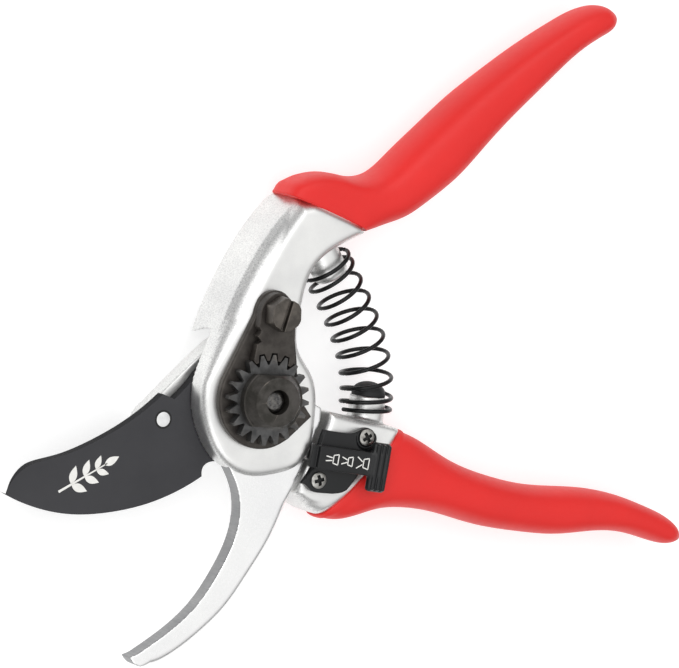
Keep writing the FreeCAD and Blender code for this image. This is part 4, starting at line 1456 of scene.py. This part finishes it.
    def screw(self, number: int, spot: tuple[float, float], turn: float) -> bpy.types.Object:
        """Pan-head screw with a deep cross recess, whose arms narrow towards the bottom.

        Args:
            number: which screw.
            spot: its place.
            turn: degrees that the recess is turned.

        Returns:
            The screw.
        """
        x, y = spot
        lump = Lump((x - 2.5, y - 2.5, 18.8), (x + 2.5, y + 2.5, 20.7), 0.07)
        away = np.hypot(lump.x - x, lump.y - y)
        dome = np.sqrt(away ** 2 + (lump.z - self.dome_centre) ** 2) - self.dome_radius
        solid = np.maximum(np.maximum(away - self.screw_radius, dome), self.screw_base - lump.z)
        taper = 0.105 * (20.4 - lump.z)
        for quarter in (0, 90):
            solid = carve(solid, lump.box((x, y, 20.4), (1.42, 0.46, 0.85), turn + quarter) + taper, 0.08)
        made = make_object(f"latch_screw_{number}_head", *lump.mesh(solid), Body.BLADE_ARM, ZINC,
                           (f"latch_screw_{number}",), angle=50)
        # Painted shadow: faces inside the cross recess get the near-black finish.
        centre, normal = face_values(made, "center"), face_values(made, "normal")
        radius = np.hypot(centre[:, 0] - x, centre[:, 1] - y)
        depth = self.dome_centre + np.sqrt(np.maximum(self.dome_radius ** 2 - radius ** 2, 0)) - centre[:, 2]
        inside = (radius < 1.66) & (depth > 0.1) & (centre[:, 2] > 19.4)
        repaint(made, RECESS_SHADOW, inside & (normal[:, 2] > -0.5))
        return made

    def build(self) -> None:
        """Makes the latch's pieces."""
        self.base()
        softened("latch_detent", Body.BLADE_ARM, RIVET_STEEL, 0.1)
        self.screw(1, along_slide(8.0, 6.5), 28.0)
        self.screw(2, along_slide(-3.9, -6.0), 12.0)
        self.slider()
        self.signs()


# ------------------------------------------------------------------------------------ studio
@dataclass
class Studio:
    """Pale floor, soft lights and the camera."""

    target: tuple[float, float, float] = (27.635, 14.307, 10.0)
    right: tuple[float, float, float] = (0.86439506, 0.03130687, 0.50183768)
    up: tuple[float, float, float] = (0.03130687, 0.99277224, -0.11585836)
    back: tuple[float, float, float] = (-0.50183768, 0.11585836, 0.8571673)
    distance: float = 1100.0
    view_width: float = 174.1
    sensor: float = 36.0

    def camera(self) -> None:
        """Places the camera from its three axes; the lens makes view_width fill the picture's width."""
        data = bpy.data.cameras.new("camera")
        data.sensor_width = self.sensor
        data.lens = self.sensor * self.distance / self.view_width
        data.clip_start, data.clip_end = 0.01, 10.0
        made = bpy.data.objects.new("camera", data)
        place = Vector(self.target) * MM + Vector(self.back) * self.distance * MM
        axes = Matrix((self.right, self.up, self.back)).transposed().to_4x4()
        made.matrix_world = Matrix.Translation(place) @ axes
        bpy.context.scene.collection.objects.link(made)
        bpy.context.scene.camera = made

    def floor(self) -> None:
        """Large matt sheet just under the tool, faintly lit from below so that shadows stay light."""
        made = bpy.data.objects.new("floor", bpy.data.meshes.new("floor"))
        shape = bmesh.new()
        bmesh.ops.create_grid(shape, x_segments=1, y_segments=1, size=3.0)
        shape.to_mesh(made.data)
        shape.free()
        made.data.transform(Matrix.Translation((0.0, 0.0, -0.0006)))
        made.data.materials.append(FLOOR.material())
        bpy.context.scene.collection.objects.link(made)

    def light(self, name: str, place: tuple[float, float, float], size: float, power: float) -> None:
        """Soft square lamp that faces the tool.

        Args:
            name: the lamp's name.
            place: its place in metres.
            size: its side in metres.
            power: watts.
        """
        data = bpy.data.lights.new(name, "AREA")
        data.shape, data.size, data.energy = "SQUARE", size, power
        made = bpy.data.objects.new(name, data)
        made.location = place
        way = Vector(self.target) * MM - Vector(place)
        made.rotation_euler = way.to_track_quat("-Z", "Y").to_euler()
        bpy.context.scene.collection.objects.link(made)

    def build(self) -> None:
        """Sets up floor, lamps, camera and a sky that is dark low down, so that metal gets dark edges."""
        self.floor()
        self.light("lamp_left", (-0.9, 0.5, 1.2), 0.8, 4.5)
        self.light("lamp_top", (0.1, 1.2, 1.0), 0.6, 3.0)
        self.light("lamp_low", (-0.5, -1.0, 1.2), 0.8, 2.5)
        world = bpy.data.worlds.new("studio")
        world.use_nodes = True
        tree = world.node_tree
        tree.nodes.clear()
        place = add_node(tree, "ShaderNodeTexCoord")
        height = add_node(tree, "ShaderNodeSeparateXYZ", links={"Vector": (place, "Generated")})
        ramp = add_node(tree, "ShaderNodeValToRGB",
                        {"ramp": [(0.0, grey(0.25)), (0.3, grey(0.22)), (0.55, grey(0.75)),
                                  (0.8, grey(1.0))]},
                        {"Fac": (height, "Z")})
        sky = add_node(tree, "ShaderNodeBackground", {"Strength": 1.0}, {"Color": (ramp, "Color")})
        add_node(tree, "ShaderNodeOutputWorld", links={"Surface": (sky, "Background")})
        bpy.context.scene.world = world
        bpy.context.scene.view_settings.view_transform = "Standard"
        self.camera()


def main() -> None:
    """Builds the sub-assemblies in order."""
    logging.basicConfig(level=logging.INFO, format="%(name)s: %(message)s")
    for part in (UpperHandle(), LowerHandle(), PivotStack(), ReturnSpring(), Latch(), Studio()):
        log.info("building %s", type(part).__name__)
        part.build()
    bpy.context.view_layer.update()


if __name__ == "__main__":
    main()
